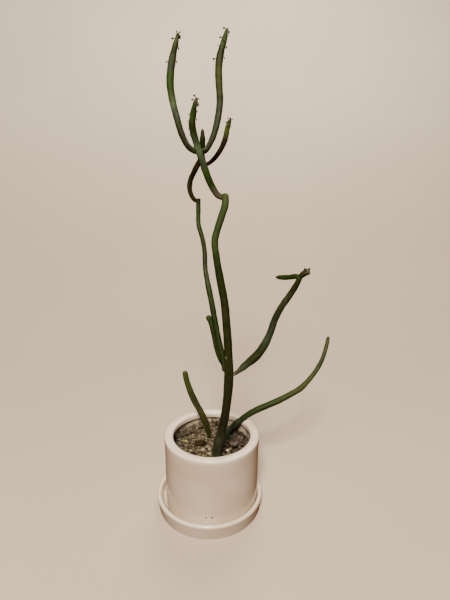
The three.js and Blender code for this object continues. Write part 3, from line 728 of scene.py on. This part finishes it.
def addGrains():
    draw = np.random.default_rng(grains["seed"])
    chosenPlaces, chosenSizes, chosenTurns, chosenTones = zip(*grains["chosen"])
    chosenX, chosenY = np.array(chosenPlaces).T
    chosenRoom = np.array(chosenSizes)[:, 1]

    # places, less what is taken
    count = grains["count"]
    order = np.arange(count)
    radius = (gravelTop["radius"] - grains["edgeRoom"]) * np.sqrt((order + 0.5) / count)
    x = radius * np.cos(order * goldenAngle) + draw.normal(0, grains["jitter"], count)
    y = radius * np.sin(order * goldenAngle) + draw.normal(0, grains["jitter"], count)
    taken = sum(((x - middle[0]) / half[0]) ** 2 + ((y - middle[1]) / half[1]) ** 2 < 1
                for middle, half in grains["clear"])
    away = np.hypot(x[:, None] - chosenX, y[:, None] - chosenY)
    free = (taken == 0) & (away > chosenRoom).all(axis=1)
    x, y = x[free], y[free]

    # sizes, turns and tones
    count = len(x)
    long = draw.uniform(*grains["lengths"], count)
    long = np.where(draw.random(count) < grains["bigShare"], draw.uniform(*grains["bigLengths"], count), long)
    inward = np.minimum(1, (gravelTop["radius"] - grains["wallRoom"] * long) / np.hypot(x, y))
    x, y = x * inward, y * inward
    z = bedHeight(x, y) + draw.uniform(*grains["heights"], count) + bedRipples(x, y)
    wide, high = (long * draw.uniform(*grains[key], count) for key in ("slim", "flat"))
    size = np.stack([long, wide, high], axis=1)
    turn = draw.uniform(0, 2 * np.pi, count)
    tilt, lean = draw.normal(0, grains["tilt"], (2, count))
    tone = grainTones(x, y, draw)

    # the chosen stones join the rest, lying level
    lying = bedHeight(chosenX, chosenY) + grains["chosenLift"]
    x, y, z = np.append(x, chosenX), np.append(y, chosenY), np.append(z, lying)
    size = np.concatenate([size, chosenSizes])
    turn = np.append(turn, chosenTurns)
    tilt, lean = (np.append(angles, np.zeros(len(lying))) for angles in (tilt, lean))
    tone = np.concatenate([tone, [linear(shade) for shade in chosenTones]])

    count = len(x)
    directions = unroll(ballDirections(grains["rows"], grains["columns"]))
    shape = stonePoints(directions, draw, count, grains["planes"], grains["cut"])
    turns = turnsAbout(2, turn) @ turnsAbout(0, tilt) @ turnsAbout(1, lean)
    points = (shape * size[:, None]) @ turns.transpose(0, 2, 1) + np.stack([x, y, z], axis=1)[:, None]
    corners = len(directions)
    faces = repeatedFaces(gridFaces(grains["rows"], grains["columns"]), count, corners)
    marks = {"tone": np.repeat(tone, corners, axis=0)}
    makePiece("gravelGrains", points.reshape(-1, 3), faces, gravelStone, "pale_gravel", ["gravel_topping"],
              smooth=False, marks=marks)
    print("grains laid:", count, "of", corners, "points")


addBed()
addGrains()


# The two pieces that lie on the gravel: lumps worked out as a ball whose reach varies with direction
lump = dict(planes=12, cut=(0.8, 1.0), waves=12, waveLengths=(0.25, 0.9), bumpRange=(-1.5, 1), fill=0.97)
pebble = dict(
    centre=(24.5, 2, 76.3), size=(6.4, 7, 5), turn=0.5, seed=5, rows=49, columns=72, roughness=0.018,
    tone="362d24", foot="231c15", footFrom=0.5,
)
chip = dict(
    centre=(-12.5, 0, 77.9), size=(6.8, 3.8, 3.6), turn=-0.12, seed=9, rows=37, columns=64, roughness=0.03,
    tone="35280f", end="0d0a06", endFrom=2.6, endFade=1.6,
)


# Points of a lump, first along its own axes and then where it lies
def lumpGrid(piece):
    directions = ballDirections(piece["rows"], piece["columns"])
    draw = np.random.default_rng(piece["seed"])
    cutShape = stonePoints(directions.reshape(-1, 3), draw, 1, lump["planes"], lump["cut"])[0]
    bumps = sum(ripples(directions[..., a], directions[..., b], piece["seed"] + a, lump["waveLengths"],
                        lump["waves"]) for a, b in ((0, 1), (1, 2), (2, 0)))
    swell = lump["fill"] + piece["roughness"] * np.clip(bumps, *lump["bumpRange"])
    local = cutShape.reshape(directions.shape) * swell[..., None] * np.array(piece["size"])
    return local, local @ turnsAbout(2, [piece["turn"]])[0].T + piece["centre"]


def addPebble():
    local, grid = lumpGrid(pebble)
    low = np.clip(pebble["footFrom"] - local[..., 2:] / pebble["size"][2], 0, 1) ** 2
    tone = blend(pebble["tone"], pebble["foot"], low)
    gridPiece("wornPebble", grid, pebbleStone, "grey_pebble", "large_pebble", tone=tone)


def addChip():
    local, grid = lumpGrid(chip)
    atEnd = np.clip((local[..., :1] - chip["endFrom"]) / chip["endFade"], 0, 1)
    tone = blend(chip["tone"], chip["end"], atEnd)
    straight = local[..., [1, 2, 0]] * mm
    gridPiece("barkFlake", grid, weatheredBark, "dead_wood", "bark_chip", tone=tone, straight=straight)


addPebble()
addChip()
print("pebble and bark laid")


# Tones of the living skin
tones = dict(
    soilBrown="1a150d", blueGreen="2d321f", darkOlive="242c0f", deepGreen="1a2a07", olive="24350e",
    freshGreen="2b4411", mossGreen="304218", mutedOlive="3f4820", yellowOlive="434b1d", yellowGreen="45541c",
    paleNeck="566548", greyGreen="34402b", brownGreen="252510", brown="231c0c", umber="392d14",
    greyBrown="3f3d2b", nightGreen="1c1f0b", taupe="2a2f1f", bronze="3c3c1b", khaki="333b21", sage="485b3a",
    nearBlack="0e0c06",
)


# Each stem: points on its axis, radii as (share of length, mm), how long its two rounded ends are in radii,
# its tones from foot to tip, and its tiny leaves as (mm below the tip, degrees round from +X, length, droop),
# which can have an outline and tones of their own
stems = dict(
    main_stem=dict(
        route=[(0.5, -14, 41), (5.6, -17.5, 73.5), (7.4, -19.6, 90), (10.4, -22, 106.5), (13.7, -26, 129),
               (16, -30, 155), (16.8, -33, 182), (15.7, -35, 207.5), (13.8, -37, 232), (11.6, -38, 254.5),
               (7.5, -39, 277), (3.9, -38.5, 298), (2.5, -37, 312), (5, -34, 322.5), (9, -28, 334),
               (12, -22, 343), (12, -18, 352.5)],
        radii=[(0, 4), (0.1, 5.7), (0.155, 5.8), (0.215, 4.6), (0.28, 4.5), (0.34, 4.4), (0.41, 4.8),
               (0.5, 4), (0.7, 3.7), (0.84, 3.1), (1, 3.3)],
        ends=(1, 0.8), skin="trunk",
        tones=[(0, "soilBrown"), (0.09, "khaki"), (0.14, "blueGreen"), (0.19, "blueGreen"),
               (0.25, "nightGreen"), (0.36, "darkOlive"), (0.68, "darkOlive"), (0.78, "deepGreen"),
               (0.84, "mossGreen"), (0.9, "olive"), (0.97, "mossGreen"), (1, "mutedOlive")],
    ),
    front_upper_stem=dict(
        route=[(10.5, -18.5, 348.5), (5, -18, 351), (0.8, -18, 357), (-2.7, -19, 364), (-5.8, -19, 372),
               (-8.7, -20, 380.5), (-11, -20, 387), (-12, -20, 390.5)],
        radii=[(0, 2.6), (0.15, 2.9), (0.45, 3.1), (1, 3.1)],
        ends=(0.5, 0.6), skin="green",
        tones=[(0, "greyBrown"), (0.2, "greyBrown"), (0.33, "olive"), (0.48, "deepGreen"),
               (0.6, "freshGreen"), (0.72, "greyGreen"), (0.85, "greyGreen"), (0.92, "sage"), (1, "sage")],
    ),
    front_middle_branch=dict(
        route=[(-12, -20, 389), (-13.5, -20, 395), (-15.8, -21, 402.5), (-17.1, -22, 409),
               (-17.1, -22, 413.5), (-16, -23, 420), (-14.8, -24, 426), (-12.8, -24, 432)],
        radii=[(0, 2.95), (0.2, 3), (0.5, 3.1), (0.7, 2.7), (0.87, 1.9), (1, 1.3)],
        ends=(0.3, 1.2), skin="young",
        tones=[(0, "sage"), (0.06, "sage"), (0.22, "greyGreen"), (0.38, "olive"), (0.5, "brownGreen"),
               (0.62, "freshGreen"), (0.85, "olive"), (1, "greyBrown")],
        leaves=[(0.5, 176, 4.2, -0.6), (0.7, 340, 2, 0.2), (3.2, 181, 3.2, 0.1), (3.8, 2, 3.1, 1.4),
                (8.5, 275, 1.6, 0.8), (9, 95, 2, 0.5), (10.8, 3, 1.5, 0.9), (14.5, 180, 1.9, 0.4),
                (17, 355, 1.9, 1), (19.5, 183, 1.6, 0.7), (25, 179, 1.3, 0.8), (30, 181, 1.1, 0.8)],
    ),
    left_tall_branch=dict(
        route=[(-12.5, -19.5, 388), (-16, -17, 389), (-21.9, -10, 393.7), (-27.8, -1, 404.3),
               (-32, 6, 417.5), (-36, 10, 432.5), (-38.1, 13, 446.5), (-37.5, 15, 459), (-35.3, 17, 471.5),
               (-32.1, 18, 483.3), (-30.5, 19, 490.5)],
        radii=[(0, 2.3), (0.08, 2.6), (0.25, 2.9), (0.55, 3.2), (0.68, 3.5), (0.78, 3.4), (0.9, 2.6),
               (1, 1.3)],
        ends=(0.5, 1.2), skin="green",
        tones=[(0, "darkOlive"), (0.05, "nightGreen"), (0.2, "nightGreen"),
               (0.3, "darkOlive"), (0.42, "greyGreen"), (0.48, "sage"), (0.55, "mossGreen"),
               (0.63, "freshGreen"), (0.7, "freshGreen"), (0.745, "greyGreen"), (0.8, "khaki"),
               (0.88, "olive"), (0.94, "mutedOlive"), (1, "greyBrown")],
        leaves=[(0.4, 150, 2.2, -1.2), (0.4, 20, 2.4, -1.2), (1.8, 2, 3.2, 1.4), (2.8, 325, 3, 1.2),
                (5.8, 182, 4, 0.4), (9, 90, 2.2, 0.5), (11.5, 0, 2.5, 1.2), (17, 275, 1.5, 0.8),
                (23.6, 4, 2.2, 1.1), (26.2, 178, 2.8, 0.3), (33, 85, 2, 0.5)],
    ),
    right_tall_branch=dict(
        route=[(-11, -19.5, 388.5), (-6, -14, 389.5), (-2.3, -8, 394.7), (1.8, -3, 403.8), (5.5, 0, 418.7),
               (7.1, 2, 432.5), (6.4, 3, 445.5), (5.9, 4, 459), (7.2, 5, 470), (10.5, 8, 482),
               (13.2, 11, 492.5)],
        radii=[(0, 2.1), (0.08, 2.4), (0.3, 3), (0.65, 3.2), (0.78, 3.35), (0.9, 2.6), (1, 1.4)],
        ends=(0.5, 1.2), skin="green",
        tones=[(0, "darkOlive"), (0.05, "darkOlive"), (0.1, "taupe"), (0.2, "darkOlive"),
               (0.3, "greyGreen"), (0.42, "greyGreen"), (0.5, "khaki"), (0.6, "mutedOlive"),
               (0.7, "mutedOlive"), (0.77, "khaki"), (0.83, "darkOlive"), (0.88, "mossGreen"),
               (0.95, "mossGreen"), (1, "mutedOlive")],
        leaves=[(0.6, 180, 3.8, -0.1), (0.4, 60, 2, -1.3), (1.5, 0, 3, 1.3), (5.6, 5, 1.4, 0.8),
                (9, 182, 3.2, 0.3), (12.5, 272, 1.5, 0.8), (15.5, 355, 2.3, 1.1), (16, 178, 1.5, 0.6),
                (20, 95, 1.8, 0.5), (25, 0, 1.9, 1), (27.8, 182, 3.7, 0.4)],
    ),
    rear_stem=dict(
        route=[(13, -32, 181), (10.5, -26.5, 195), (6.5, -20, 211), (3, -14, 228), (-0.3, -8, 245.5),
               (-4, -1, 262.5), (-6.5, 6, 276), (-7.5, 17, 293.5), (-10.1, 27, 305.3), (-13.8, 35, 317),
               (-14, 39, 331), (-14, 42, 343)],
        radii=[(0, 2.7), (0.12, 3), (0.45, 2.9), (0.56, 2.45), (1, 2.4)],
        ends=(0.5, 0.3), skin="green",
        tones=[(0, "darkOlive"), (0.3, "deepGreen"), (0.45, "olive"), (0.54, "khaki"), (0.6, "darkOlive"),
               (0.74, "darkOlive"), (0.8, "olive"), (0.95, "mossGreen"), (1, "greyGreen")],
    ),
    rear_upper_stem=dict(
        route=[(-14.5, 41.6, 340.5), (-17, 41, 341), (-20, 39, 344.5), (-22.5, 35, 352.5),
               (-21.5, 31, 361.3), (-17, 26, 371), (-13.8, 22, 376.9), (-10.5, 18, 381.5),
               (-8, 15.5, 384.5)],
        radii=[(0, 2.1), (0.15, 2.35), (0.4, 2.6), (1, 2.8)],
        ends=(0.5, 0.5), skin="green",
        tones=[(0, "bronze"), (0.3, "bronze"), (0.5, "khaki"), (0.8, "bronze"), (1, "darkOlive")],
    ),
    rear_bud=dict(
        route=[(-8.6, 15.4, 383.5), (-9, 14.5, 389), (-9, 14, 396), (-9, 14, 409.5)],
        radii=[(0, 1.8), (0.4, 2.7), (0.62, 2.7), (0.85, 1.8), (1, 1)],
        ends=(0.5, 2.2), skin="green",
        tones=[(0, "deepGreen"), (0.6, "deepGreen"), (0.82, "brownGreen"), (1, "umber")],
    ),
    rear_right_branch=dict(
        route=[(-9.5, 16.8, 380), (-6.5, 15, 377.3), (-3.3, 13.8, 378.1), (3.3, 11, 383.8), (9.1, 9, 392.4),
               (12.5, 8, 400.6), (14.2, 7, 409), (16.8, 6, 417.5)],
        radii=[(0, 1.5), (0.2, 1.95), (0.45, 2.4), (0.7, 2.5), (0.85, 2.35), (1, 1.5)],
        ends=(0.5, 1.1), skin="young",
        tones=[(0, "brown"), (0.66, "brown"), (0.74, "mutedOlive"), (0.82, "yellowGreen"),
               (0.92, "mutedOlive"), (1, "brown")],
        leaves=[(0.3, 176, 2.6, -0.3), (0.3, 4, 2.5, -0.3), (0.4, 90, 2, -1.2), (0.6, 280, 1.5, -1),
                (3, 182, 2.2, 1), (5.5, 355, 1.3, 0.8), (6.5, 265, 1.4, 0.8), (9, 95, 1.6, 0.5)],
    ),
    short_left_shoot=dict(
        route=[(12.5, -29.5, 186.5), (8.8, -19, 188.5), (5.4, -5, 194.5), (2.8, 7, 204), (-0.5, 19, 213.7),
               (-4.6, 27, 219.3)],
        radii=[(0, 2.1), (0.12, 2.5), (0.4, 3.2), (0.8, 3.3), (1, 2.9)],
        ends=(0.5, 0.9), skin="green",
        tones=[(0, "darkOlive"), (0.6, "deepGreen"), (0.9, "olive"), (1, "yellowGreen")],
    ),
    right_branch=dict(
        route=[(18.5, -33, 177.5), (24, -33, 180.3), (33.5, -32, 188.4), (43.8, -31, 197.6),
               (51.2, -30, 208.4), (56.6, -30, 221.3), (60.6, -31, 235.8), (66, -34, 249.5),
               (72.2, -38, 261.5), (77.2, -42, 272.8), (80, -44, 281)],
        radii=[(0, 1.7), (0.05, 2), (0.14, 3.6), (0.22, 4.3), (0.36, 4.1), (0.5, 3.4), (0.85, 3), (1, 2.5)],
        ends=(0.5, 0.7), skin="green",
        tones=[(0, "paleNeck"), (0.05, "greyBrown"), (0.12, "greyGreen"), (0.2, "darkOlive"),
               (0.3, "darkOlive"), (0.45, "greyGreen"), (0.6, "taupe"), (0.8, "khaki"),
               (0.93, "brownGreen"), (1, "olive")],
    ),
    right_branchlet=dict(
        route=[(79.6, -42.5, 280.5), (77, -38, 279.7), (71, -31, 277), (65.5, -25, 275.4), (61, -21, 274.6)],
        radii=[(0, 1.8), (0.2, 2.4), (0.6, 2.5), (0.84, 2.2), (1, 1.1)],
        ends=(0.5, 1.3), skin="green",
        tones=[(0, "olive"), (0.7, "olive"), (0.9, "brownGreen"), (1, "nearBlack")],
    ),
    right_end_bud=dict(
        route=[(79.4, -43.9, 280.4), (83.8, -45, 284.6), (88, -46, 286.5)],
        radii=[(0, 2.5), (0.4, 2.8), (0.8, 3), (1, 2.7)],
        ends=(0.5, 0.5), skin="green",
        tones=[(0, "olive"), (0.35, "brownGreen"), (0.7, "umber"), (1, "sage")],
        leaves=[(3.6, 180, 3.6, -0.5), (0.5, 170, 2.8, -0.9)],
        leafOutline=[(0, 1.7), (0.45, 1.5), (0.75, 1), (1, 0.35)],
        leafTones=[(0, "umber"), (0.6, "umber"), (1, "brown")],
    ),
    lower_right_stem=dict(
        route=[(12, 10, 49), (17.6, 13.5, 72), (18.6, 16.5, 77), (20.2, 19.5, 81.3), (23.3, 21.3, 84.6),
               (28.6, 21.8, 89.7), (33.2, 23, 92.8), (43.1, 23.5, 100.3), (52, 24, 105.4), (62.9, 25, 110),
               (77, 27, 115.5), (90.6, 30, 121.4), (103, 34, 127.1), (113.7, 40, 134.9), (124, 47, 145),
               (131.9, 55, 154.8), (137, 62, 165.1), (141.3, 69.9, 178)],
        radii=[(0, 1.7), (0.13, 2.3), (0.24, 3.3), (0.42, 3.7), (0.62, 3.4), (0.75, 2.75), (0.93, 2.4),
               (1, 2)],
        ends=(1, 1.1), skin="young",
        tones=[(0, "soilBrown"), (0.11, "greyGreen"), (0.2, "greyGreen"), (0.27, "darkOlive"),
               (0.45, "olive"), (0.7, "mutedOlive"), (0.83, "khaki"), (1, "mutedOlive")],
    ),
    lower_left_stem=dict(
        route=[(-1, 17, 49), (-2.6, 17, 72), (-5.2, 17, 87.8), (-8.6, 17, 98.1), (-12.7, 17, 107.8),
               (-18.6, 18, 119.1), (-23.6, 18, 131.7), (-28.2, 19, 146.5), (-30, 19, 157.5)],
        radii=[(0, 1.5), (0.2, 2), (0.32, 2.6), (0.46, 3.5), (0.72, 3.6), (0.9, 3.2), (1, 2.8)],
        ends=(1, 0.8), skin="young",
        tones=[(0, "soilBrown"), (0.25, "darkOlive"), (0.5, "bronze"), (0.7, "khaki"), (0.85, "mutedOlive"),
               (0.97, "yellowOlive"), (1, "mutedOlive")],
    ),
)
skins = dict(
    trunk=(trunkSkin, "trunk_bark"), green=(greenSkin, "green_stem"), young=(youngSkin, "young_stem"),
)
# Stations, swellings, ribs and leaf scars of every stem
tube = dict(
    ringStep=0.6, columns=36, capRings=9, perSpan=40, swell=0.09, swellLengths=(31, 17, 9),
    ribs=(3, 5, 8), ribHeight=0.05, ribTwist=14, ribSway=0.5,
    scarGap=11, scarHeight=0.24, scarStart=0.6, scarLength=0.5, scarWidth=0.8,
)


# A smooth line through the points: each span is a cubic whose pull at its ends comes from the neighbouring
# points, weighed by the square roots of the spans' lengths
def smoothRoute(route):
    points = np.array(route, float)
    points = np.vstack([2 * points[0] - points[1], points, 2 * points[-1] - points[-2]])
    span = np.sqrt(np.linalg.norm(np.diff(points, axis=0), axis=1))[:, None]
    a, b, c, d = points[:-3], points[1:-2], points[2:-1], points[3:]
    before, here, after = span[:-2], span[1:-1], span[2:]
    leave = ((b - a) / before - (c - a) / (before + here) + (c - b) / here) * here
    arrive = ((c - b) / here - (d - b) / (here + after) + (d - c) / after) * here
    t = np.linspace(0, 1, tube["perSpan"], endpoint=False)[:, None, None]
    line = (b + leave * t + (3 * (c - b) - 2 * leave - arrive) * t ** 2
            + (2 * (b - c) + leave + arrive) * t ** 3)
    line = np.vstack([line.transpose(1, 0, 2).reshape(-1, 3), points[-2]])
    return line, runAlong(line)


def unit(vectors):
    return vectors / np.linalg.norm(vectors, axis=-1, keepdims=True)


def headings(line, run, stops):
    return unit(between(stops, run, np.gradient(line, run, axis=0)))


# Radius at a share of the length: neighbouring values blended by a smooth step
def radiusAt(radii, share):
    places, sizes = np.array(radii).T
    after = np.clip(np.searchsorted(places, share), 1, len(places) - 1)
    part = np.clip((share - places[after - 1]) / (places[after] - places[after - 1]), 0, 1)
    return sizes[after - 1] + (sizes[after] - sizes[after - 1]) * part * part * (3 - 2 * part)


# Stations along a stem: evenly spaced, and closer where both ends are rounded off as quarter ellipses
def stations(stem, length):
    bend = np.linspace(0, np.pi / 2, tube["capRings"])
    startCap = stem["ends"][0] * stem["radii"][0][1]
    endCap = stem["ends"][1] * stem["radii"][-1][1]
    count = max(3, int((length - startCap - endCap) / tube["ringStep"]))
    middle = np.linspace(startCap, length - endCap, count)
    stops = np.concatenate([startCap * (1 - np.cos(bend)), middle[1:-1],
                            length - endCap * (1 - np.cos(bend[::-1]))])
    rounding = np.concatenate([np.sin(bend), np.ones(count - 2), np.sin(bend[::-1])])
    return stops, rounding


# How near each point is to a leaf scar; the scars climb the stem, each a golden angle further round
def scarField(stops, angle, radius, length):
    count = max(1, int(length / tube["scarGap"]))
    at = (np.arange(count) + tube["scarStart"]) * length / count
    up = stops[:, None, None] - at
    turn = nearTurn(angle[None, :, None] - np.arange(count) * goldenAngle)
    around = turn * radius[:, None, None]
    return np.exp(-up ** 2 / tube["scarLength"] - around ** 2 / tube["scarWidth"]).max(axis=2)


# Slow swellings along a stem, and ribs that sway a little round it
def unevenness(stops, angle, draw):
    start = draw.uniform(0, 2 * np.pi, 3)
    swelling = sum(np.sin(2 * np.pi * stops / wave + s) for wave, s in zip(tube["swellLengths"], start)) / 2
    ribs = sum(np.cos(k * angle + s + tube["ribSway"] * np.sin(stops[:, None] / tube["ribTwist"] + s))
               for k, s in zip(tube["ribs"], start))
    return tube["swell"] * swelling[:, None] + tube["ribHeight"] * ribs


def toneAlong(stops, share):
    places = [place for place, tone in stops]
    return between(share, places, [linear(tones[tone]) for place, tone in stops])


# A stem: circles carried along its route, rounded off at both ends, and lifted by swellings, ribs and scars
def stemPiece(node, stem, seed):
    draw = np.random.default_rng(seed)
    line, run = smoothRoute(stem["route"])
    length = run[-1]
    stops, rounding = stations(stem, length)
    share = stops / length
    radius = radiusAt(stem["radii"], share)
    angle = fullTurn(tube["columns"])
    scars = scarField(stops, angle, radius, length)
    lift = unevenness(stops, angle, draw) + tube["scarHeight"] * scars
    reach = (radius[:, None] + lift) * rounding[:, None]

    heading = headings(line, run, stops)
    centre = between(stops, run, line)
    aside = np.linalg.svd(line - line.mean(axis=0), full_matrices=False)[2][2]
    across = unit(aside - (heading @ aside)[:, None] * heading)
    over = np.cross(heading, across)
    sideways, upwards = reach * np.cos(angle), reach * np.sin(angle)
    grid = centre[:, None] + across[:, None] * sideways[..., None] + over[:, None] * upwards[..., None]
    straight = np.stack([sideways, upwards, stops[:, None] + 0 * angle], axis=-1) * mm
    straight[..., 2] += seed  # every stem reads its own part of the pattern
    tone = np.repeat(toneAlong(stem["tones"], share)[:, None], len(angle), axis=1)

    first, *rest = node.split("_")
    name = first + "".join(word.capitalize() for word in rest)
    material, slotName = skins[stem["skin"]]
    gridPiece(name + "Skin", grid, material, slotName, node, tone=tone, straight=straight, scar=scars)
    if "leaves" in stem:
        leafPiece(name + "Leaves", node, stem, slotName)


# A leaf springs from the skin on a short stalk and widens to a fleshy blade, half-widths in mm; with a droop
# of one its blade hangs down, with none it stands straight out, and below nought it rises
leaf = dict(
    outline=[(0, 0.55), (0.2, 0.42), (0.4, 0.46), (0.6, 0.85), (0.78, 1.2), (0.92, 1.05), (1, 0.3)],
    thickness=0.75, fold=0.1, rings=16, columns=10, fullLength=3.4, slimPower=0.7, root=0.22,
    bluntness=8, rise=0.12, hang=0.8, shorten=0.3, tipRoom=0.4, tipLength=3,
    tones=[(0, "brownGreen"), (0.35, "brownGreen"), (0.6, "brown"), (1, "nearBlack")],
)


# The middle line of one leaf and its two cross directions; near the stem's tip the skin is narrower
def leafLine(line, run, stem, steps, below, degrees, size, droop):
    stop = np.array([run[-1] - below])
    foot = between(stop, run, line)[0]
    heading = headings(line, run, stop)[0]
    out = np.array([math.cos(math.radians(degrees)), math.sin(math.radians(degrees)), 0])
    out = unit(out - (out @ heading) * heading)
    side = np.cross(heading, out)
    skin = radiusAt(stem["radii"], stop / run[-1])[0] * min(1, leaf["tipRoom"] + below / leaf["tipLength"])
    away = steps * (1 - leaf["shorten"] * abs(droop) * steps ** 2) - leaf["root"]
    up = leaf["rise"] * np.sin(np.pi * steps) - leaf["hang"] * droop * steps ** 3
    middle = foot + out * (skin + size * away[:, None]) + heading * size * up[:, None]
    return middle, side, unit(np.cross(np.gradient(middle, axis=0), side))


def leafPiece(name, node, stem, slotName):
    line, run = smoothRoute(stem["route"])
    angle = fullTurn(leaf["columns"])
    steps = np.linspace(0, 1, leaf["rings"])
    outline = stem.get("leafOutline", leaf["outline"])
    widths = np.interp(steps, *np.array(outline).T)[:, None]
    rounding = np.minimum(1, np.sqrt(np.clip(1 - (2 * steps - 1) ** leaf["bluntness"], 0, 1)))[:, None]
    points = []
    for below, degrees, size, droop in stem["leaves"]:
        middle, side, over = leafLine(line, run, stem, steps, below, degrees, size, droop)
        half = widths * min(1, size / leaf["fullLength"]) ** leaf["slimPower"] * rounding
        lift = leaf["thickness"] * half * np.sin(angle) - leaf["fold"] * half * np.cos(angle) ** 2
        grid = middle[:, None] + side * (half * np.cos(angle))[..., None] + over[:, None] * lift[..., None]
        grid[0], grid[-1] = middle[0], middle[-1]
        points.append(unroll(grid))
    faces = repeatedFaces(gridFaces(leaf["rings"], leaf["columns"]), len(points), len(points[0]))
    tone = toneAlong(stem.get("leafTones", leaf["tones"]), steps)
    tone = np.repeat(tone[:, None], leaf["columns"], axis=1)
    marks = {"tone": np.tile(unroll(tone), (len(points), 1))}
    makePiece(name, np.concatenate(points), faces, leafSkin, slotName, [node], marks=marks)


for index, (node, stem) in enumerate(stems.items()):
    stemPiece(node, stem, index + 1)
print("stems grown:", len(stems))

# The soil lies hidden under the gravel, so its own plain mesh is kept
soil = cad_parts["potting_soil"]
soil.data.materials.clear()
soil.data.materials.append(darkSoil)


# A plain pale floor that curves up behind, in metres
stage = dict(halfWidth=3.0, front=-3.2, back=1.5, bend=1.1, top=3.2)


def addStage():
    bend = stage["bend"]
    outline = np.concatenate([[(stage["front"], 0), (0, 0)],
                              arc(stage["back"] - bend, bend, bend, -90, 0, 20),
                              [(stage["back"], stage["top"])]])
    side = np.array([stage["halfWidth"], -stage["halfWidth"]])
    away, up = outline[:, :1], outline[:, 1:]
    grid = np.stack([side + 0 * away, away + 0 * side, up + 0 * side], axis=-1)
    row = np.arange(len(outline) - 1)[:, None] * 2
    faces = row + np.array([0, 2, 3, 1]), np.zeros((0, 3), int)
    floor = makePiece("paleFloor", grid.reshape(-1, 3) / mm, faces, palePaper, None)


# A large soft light in front and above, a weaker one from behind, and a dim room that looks lighter
# than the light it gives; places and sizes in metres
lights = dict(
    front=dict(place=(-0.27, -1.8, 2.12), size=0.6, power=140, colour=(1, 0.86, 0.72)),
    behind=dict(place=(0.25, 1.15, 1.75), size=1.0, power=24, colour=(1, 0.87, 0.74)),
)
lightTarget = (0, 0, 0.2)
room = dict(colour=(1, 0.95, 0.89, 1), glow=0.02, seen=0.6)


def addLights():
    for name, light in lights.items():
        lamp = bpy.data.lights.new(name + "Light", "AREA")
        lamp.shape = "DISK"
        lamp.size = light["size"]
        lamp.energy = light["power"]
        lamp.color = light["colour"]
        place = Vector(light["place"])
        aim = (Vector(lightTarget) - place).to_track_quat("-Z", "Y").to_matrix().to_4x4()
        addObject(name + "Light", lamp).matrix_world = Matrix.Translation(place) @ aim


def addRoom():
    world = bpy.data.worlds.new("softRoom")
    world.use_nodes = True
    tree = world.node_tree
    background = tree.nodes["Background"].inputs
    background["Color"].default_value = room["colour"]
    seen = addNode(tree, "ShaderNodeLightPath").outputs["Is Camera Ray"]
    tree.links.new(shown(tree, seen, (room["glow"], room["seen"])), background["Strength"])
    bpy.context.scene.world = world


# Place in millimetres, turns in degrees, pitch measured down from level
camera = dict(
    place=(-1.1, -449.2, 382.4), yaw=-1.8358, pitch=16.9484, roll=0.5286, lens=27.77, sensor=36, nearest=0.01,
)


def addCamera():
    data = bpy.data.cameras.new("photoCamera")
    data.lens = camera["lens"]
    data.sensor_width = camera["sensor"]
    data.clip_start = camera["nearest"]
    holder = addObject("photoCamera", data)
    turn = (Matrix.Rotation(math.radians(camera["yaw"]), 4, "Z")
            @ Matrix.Rotation(math.radians(90 - camera["pitch"]), 4, "X")
            @ Matrix.Rotation(math.radians(camera["roll"]), 4, "Z"))
    holder.matrix_world = Matrix.Translation(Vector(camera["place"]) * mm) @ turn
    bpy.context.scene.camera = holder


addStage()
addLights()
addRoom()
addCamera()
print("stage, lights, room and camera set")
